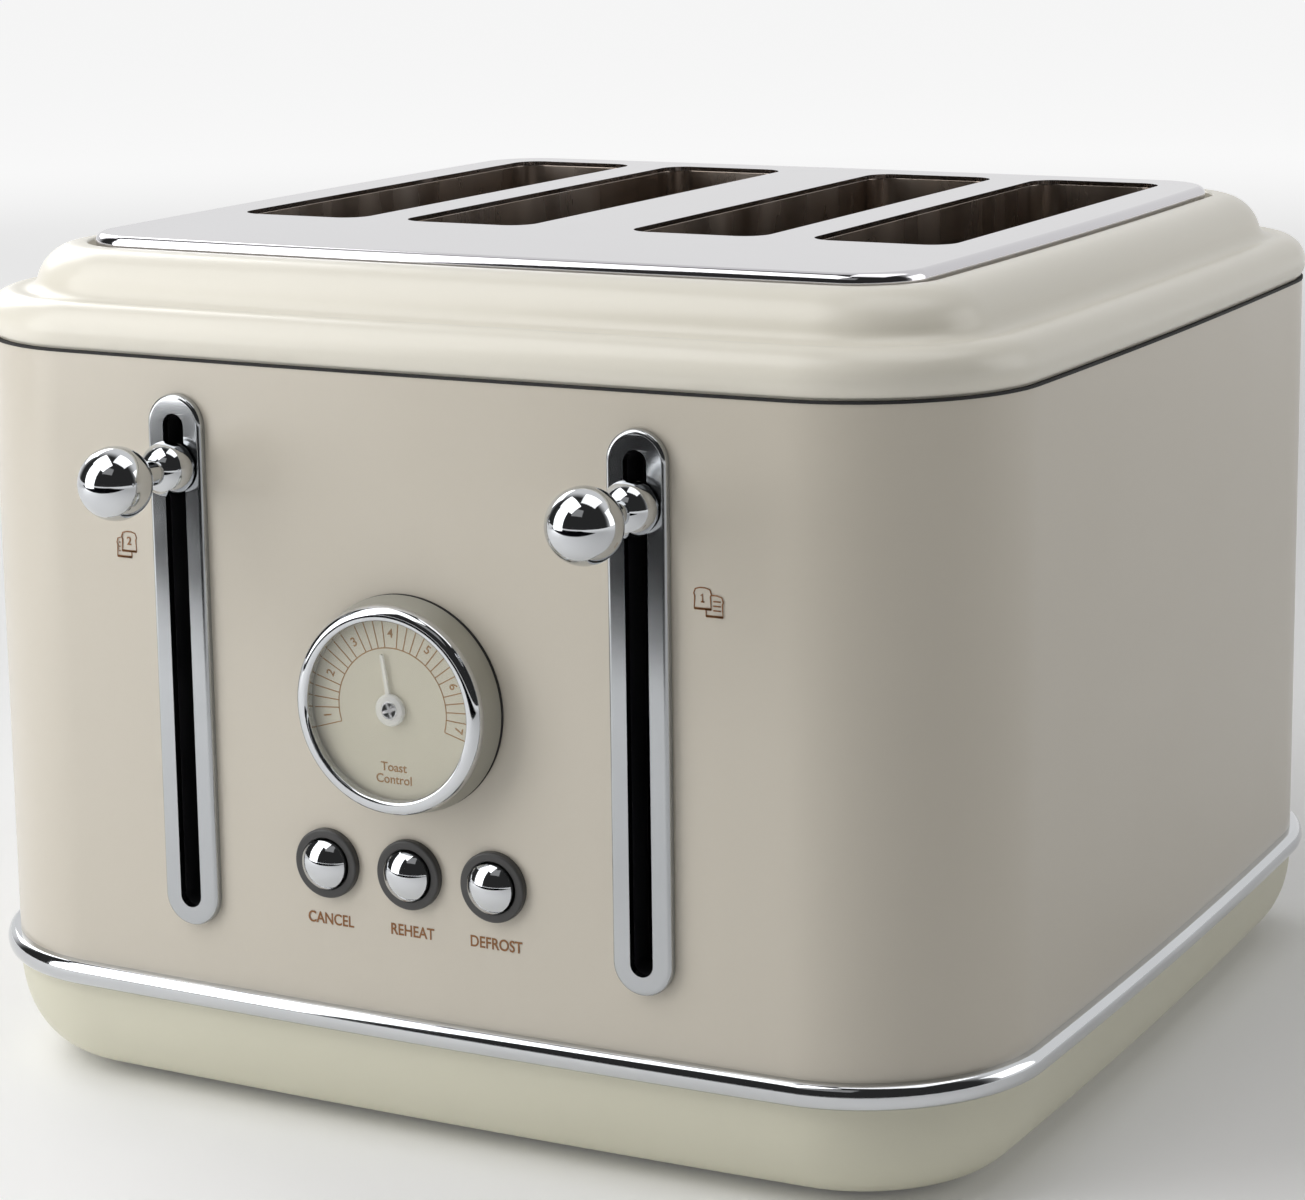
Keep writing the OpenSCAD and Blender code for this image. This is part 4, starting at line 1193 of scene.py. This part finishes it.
def makeFeet():
    low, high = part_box("feet")
    radius = foot["radius"]
    height = high.z - low.z
    x, y = high.x - radius, high.y - radius
    y0 = low.y + radius
    hole, head, well, mouth, edge = (foot[k] for k in ("hole", "head", "well", "mouth", "edge"))
    profile = [(hole, well), (head, well), (head, mouth), (head + mouth, 0)]
    profile += arcPoints((radius - foot["taper"] - edge, edge), edge, -90, 0, 5)
    profile += [(radius - inwards, height - down) for inwards, down in foot["top"]]
    profile += [(hole, height), (hole, well)]
    first = turnPiece("rubberFeet", profile, (x, y, low.z), 64, way=(0, 0, 1))
    corners = ((-x, y), (-x, y0), (x, y0))
    feet = [first] + [copyPiece(first, (fx - x, fy - y, 0)) for fx, fy in corners]
    piece = joinPieces("rubberFeet", feet)
    give(piece, rubberAndShadeBlack, "housing", "foot_rubber", "feet")


handle = {"bar": 0.0021, "bend": 0.004}


def makeTrayHandle(side):
    low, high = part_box(side + "_tray_pull")
    bar, bend = handle["bar"], handle["bend"]
    z = (low.z + high.z) / 2
    left, right, back, out = low.x + bar, high.x - bar, low.y, high.y - bar
    line = [(left, back)] + arcPoints((left + bend, out - bend), bend, 180, 90, 8)
    line += arcPoints((right - bend, out - bend), bend, 90, 0, 8) + [(right, back)]
    piece = bendWire(side + "TrayHandle", [(x, y, z) for x, y in line], bar, 6)
    give(piece, brightChrome, side + "_tray", "chrome", side + "_tray_pull")


inlet = {"hole": 0.0036, "mouth": 0.0006, "edge": 0.0012, "clip": 0.002, "clipTaper": 0.001}


def makeInlet():
    low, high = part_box("cord_inlet")
    wall = shellHigh.y
    flange, neck = (high.x - low.x) / 2, openings["inlet"]
    hole, mouth, edge = (inlet[k] for k in ("hole", "mouth", "edge"))
    deep, lip, clip = wall - low.y, high.y - wall, neck + inlet["clip"]
    profile = [(hole, -deep), (hole, lip - mouth), (hole + mouth, lip)]
    profile += arcPoints((flange - edge, lip - edge), edge, 90, 0, 6)
    profile += [(flange, 0), (neck, 0), (neck, -casing["wall"]), (clip, -casing["wall"])]
    profile += [(clip, -deep + inlet["clipTaper"]), (neck, -deep), (hole, -deep)]
    place = (0, wall, (low.z + high.z) / 2)
    piece = turnPiece("inletBush", profile, place, 64, way=(0, 1, 0))
    give(piece, blackPlastic, "housing", "black_plastic", "cord_inlet")


spring = {"wire": 0.00055, "turns": 11, "steps": 16}


def makeReturnSpring(side):
    # stretches from its hanger on the chassis to the lug on the carriage
    low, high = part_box(side + "_return_spring")
    wire, steps = spring["wire"], spring["steps"]
    x, y = (low.x + high.x) / 2, (low.y + high.y) / 2
    radius = (high.x - low.x) / 2 - wire
    count = spring["turns"] * steps
    rise = (high.z - low.z - 2 * wire) / count
    turns = [2 * math.pi * i / steps for i in range(count + 1)]
    points = [(x + radius * math.cos(a), y + radius * math.sin(a), low.z + wire + i * rise)
              for i, a in enumerate(turns)]
    piece = bendWire(side + "ReturnSpring", points, wire, 2)
    piece.data.materials.append(springWire)
    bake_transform(piece)
    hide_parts(side + "_return_spring")


makeFeet()
for side in ("left", "right"):
    makeTrayHandle(side)
    makeReturnSpring(side)
makeInlet()
print("feet, handles, springs and inlet done")

# finishes for the nodes that stay as packed, with soft edges

kept = {
    "bottom_plate": (underPlastic, 0.0004), "foot_screws": (springWire, 0.0002),
    "chassis_floor": (zincSheet, 0.0002), "chassis_posts": (postPlastic, 0.0003),
    "chassis_front": (zincSheet, 0.0002), "chassis_rear": (zincSheet, 0.0002),
    "chassis_divider": (zincSheet, 0.0002), "heat_shields": (zincSheet, 0.0002),
    "mica_boards": (micaSheet, 0.0001), "heating_wires": (ribbonAlloy, 0.0),
    "left_guards_left": (guardWire, 0.0), "left_guards_right": (guardWire, 0.0),
    "right_guards_left": (guardWire, 0.0), "right_guards_right": (guardWire, 0.0),
    "left_carriage": (zincSheet, 0.0003), "right_carriage": (zincSheet, 0.0003),
    "left_racks": (guardWire, 0.0002), "right_racks": (guardWire, 0.0002),
    "left_latch_plate": (latchIron, 0.0002), "right_latch_plate": (latchIron, 0.0002),
    "guide_rods": (springWire, 0.0002),
    "magnet_cores": (latchIron, 0.0002), "magnet_coils": (coilCopper, 0.0006),
    "slot_shrouds": (blackPlastic, 0.0002), "dial_shaft": (springWire, 0.0002),
    "control_board": (boardGreen, 0.0002), "board_bracket": (zincSheet, 0.0002),
    "timer_pot": (potPlastic, 0.0004), "button_switches": (blackPlastic, 0.0002),
    "terminal_block": (nylonBlock, 0.0004),
    "left_crumb_tray": (zincSheet, 0.0003), "right_crumb_tray": (zincSheet, 0.0003),
}


softened = {"merge": 2e-6, "flat": 1, "edge": 40}   # metres, degrees, degrees


def finishNode(name, finish, width):
    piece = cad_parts[name]
    piece.data.materials.clear()
    piece.data.materials.append(finish)
    piece.data.polygons.foreach_set("use_smooth", [True] * len(piece.data.polygons))
    weld = piece.modifiers.new("weld", "WELD")
    weld.merge_threshold = softened["merge"]
    if width:
        flats = piece.modifiers.new("flats", "DECIMATE")
        flats.decimate_type = "DISSOLVE"
        flats.angle_limit = math.radians(softened["flat"])
        bevel = piece.modifiers.new("softEdges", "BEVEL")
        bevel.width = width
        bevel.segments = 2
        bevel.limit_method = "ANGLE"
        bevel.angle_limit = math.radians(softened["edge"])
    normals = piece.modifiers.new("evenNormals", "WEIGHTED_NORMAL")
    normals.keep_sharp = True


for name, (finish, width) in kept.items():
    finishNode(name, finish, width)
print("kept nodes finished")

# floor and soft studio light

studio = {
    "floor": 60.0, "floorColour": (0.90, 0.90, 0.90), "floorRough": 0.6, "floorDown": 0.0004,
    # the floor shines a little more from this far away to that far away, so that it stays white
    "shine": (0.45, 2.6), "shineNear": 0.06, "shineFar": 0.85,
    "backdrop": 1.0, "glow": 0.07, "darkRoom": 0.03, "brightRoom": 0.85, "turnsBright": (0.05, 0.45),
    "lamps": [
        # name, place, aim, width, height, power
        ("overhead", (-0.45, -0.50, 1.20), (0, 0, 0.1), 1.1, 0.7, 5.9),
        ("topLamp", (0.35, 0.05, 1.30), (0.05, 0, 0.2), 0.8, 0.8, 3.2),
        ("leftWindow", (-0.70, -0.70, 0.46), (0, 0, 0.1), 0.6, 0.9, 5.2),
        ("frontLamp", (0.1, -1.3, 1.4), (0, 0, 0.1), 0.9, 0.6, 0.5),
        ("rightWindow", (1.25, 0.60, 0.60), (0, 0, 0.1), 0.8, 0.9, 3.0),
        ("backLamp", (-1.2, 0.6, 0.9), (0, 0, 0.1), 0.8, 0.8, 6.0),
    ],
    "card": ((-2.2, -2.6), (0.9, -0.62)), "cardUp": 0.002, "cardColour": (0.004, 0.004, 0.005),
}


def makeFloor():
    bpy.ops.mesh.primitive_plane_add(size=studio["floor"], location=(0, 0, -studio["floorDown"]))
    floor = bpy.context.object
    floor.name = "floor"
    white = bpy.data.materials.new("floorWhite")
    white.use_nodes = True
    nodes, links = white.node_tree.nodes, white.node_tree.links
    shader = setInputs(nodes["Principled BSDF"], {
        "Base Color": (*studio["floorColour"], 1), "Roughness": studio["floorRough"],
        "Specular IOR Level": 0, "Emission Color": (1, 1, 1, 1),
    })
    place = nodes.new("ShaderNodeTexCoord")
    distance = nodes.new("ShaderNodeVectorMath")
    distance.operation = "LENGTH"
    links.new(place.outputs["Object"], distance.inputs[0])
    shine = addRange(nodes, *studio["shine"], studio["shineNear"], studio["shineFar"], smooth=True)
    links.new(distance.outputs["Value"], shine.inputs["Value"])
    links.new(shine.outputs["Result"], shader.inputs["Emission Strength"])
    floor.data.materials.append(white)


def makeDarkCard():
    # lies on the table in front and shows only in reflections, so that bright metal has a dark side
    (x0, y0), (x1, y1) = studio["card"]
    place = ((x0 + x1) / 2, (y0 + y1) / 2, studio["cardUp"])
    bpy.ops.mesh.primitive_plane_add(size=1, location=place)
    card = bpy.context.object
    card.name = "darkCard"
    card.scale = (x1 - x0, y1 - y0, 1)
    settle(card)
    black = bpy.data.materials.new("cardBlack")
    black.use_nodes = True
    look = {"Base Color": (*studio["cardColour"], 1), "Specular IOR Level": 0}
    setInputs(black.node_tree.nodes["Principled BSDF"], look)
    card.data.materials.append(black)
    card.visible_camera = card.visible_diffuse = card.visible_shadow = False


def makeLamps():
    for name, place, aim, width, height, power in studio["lamps"]:
        bpy.ops.object.light_add(type="AREA", location=place)
        lamp = bpy.context.object
        lamp.name = name
        lamp.data.shape = "RECTANGLE"
        lamp.data.size = width
        lamp.data.size_y = height
        lamp.data.energy = power
        lamp.rotation_euler = (Vector(aim) - Vector(place)).to_track_quat("-Z", "Y").to_euler()


def makeRoom():
    # in reflections the room is dark in front and bright behind; for everything else it glows evenly
    world = bpy.data.worlds.new("room")
    bpy.context.scene.world = world
    world.use_nodes = True
    nodes, links = world.node_tree.nodes, world.node_tree.links
    glow = setInputs(nodes["Background"], {"Color": (1, 1, 1, 1)})
    path = nodes.new("ShaderNodeLightPath")
    way = nodes.new("ShaderNodeTexCoord")
    split = nodes.new("ShaderNodeSeparateXYZ")
    links.new(way.outputs["Generated"], split.inputs["Vector"])
    dark, bright = studio["darkRoom"], studio["brightRoom"]
    behind = addRange(nodes, *studio["turnsBright"], dark, bright, smooth=True)
    links.new(split.outputs["Y"], behind.inputs["Value"])
    pick = nodes.new("ShaderNodeMix")
    pick.data_type = "FLOAT"
    pick.inputs["A"].default_value = studio["glow"]
    links.new(behind.outputs["Result"], pick.inputs["B"])
    links.new(path.outputs["Is Glossy Ray"], pick.inputs["Factor"])
    backdrop = nodes.new("ShaderNodeMix")
    backdrop.data_type = "FLOAT"
    backdrop.inputs["B"].default_value = studio["backdrop"]
    links.new(path.outputs["Is Camera Ray"], backdrop.inputs["Factor"])
    links.new(pick.outputs["Result"], backdrop.inputs["A"])
    links.new(backdrop.outputs["Result"], glow.inputs["Strength"])


makeFloor()
makeDarkCard()
makeLamps()
makeRoom()
print("studio done")
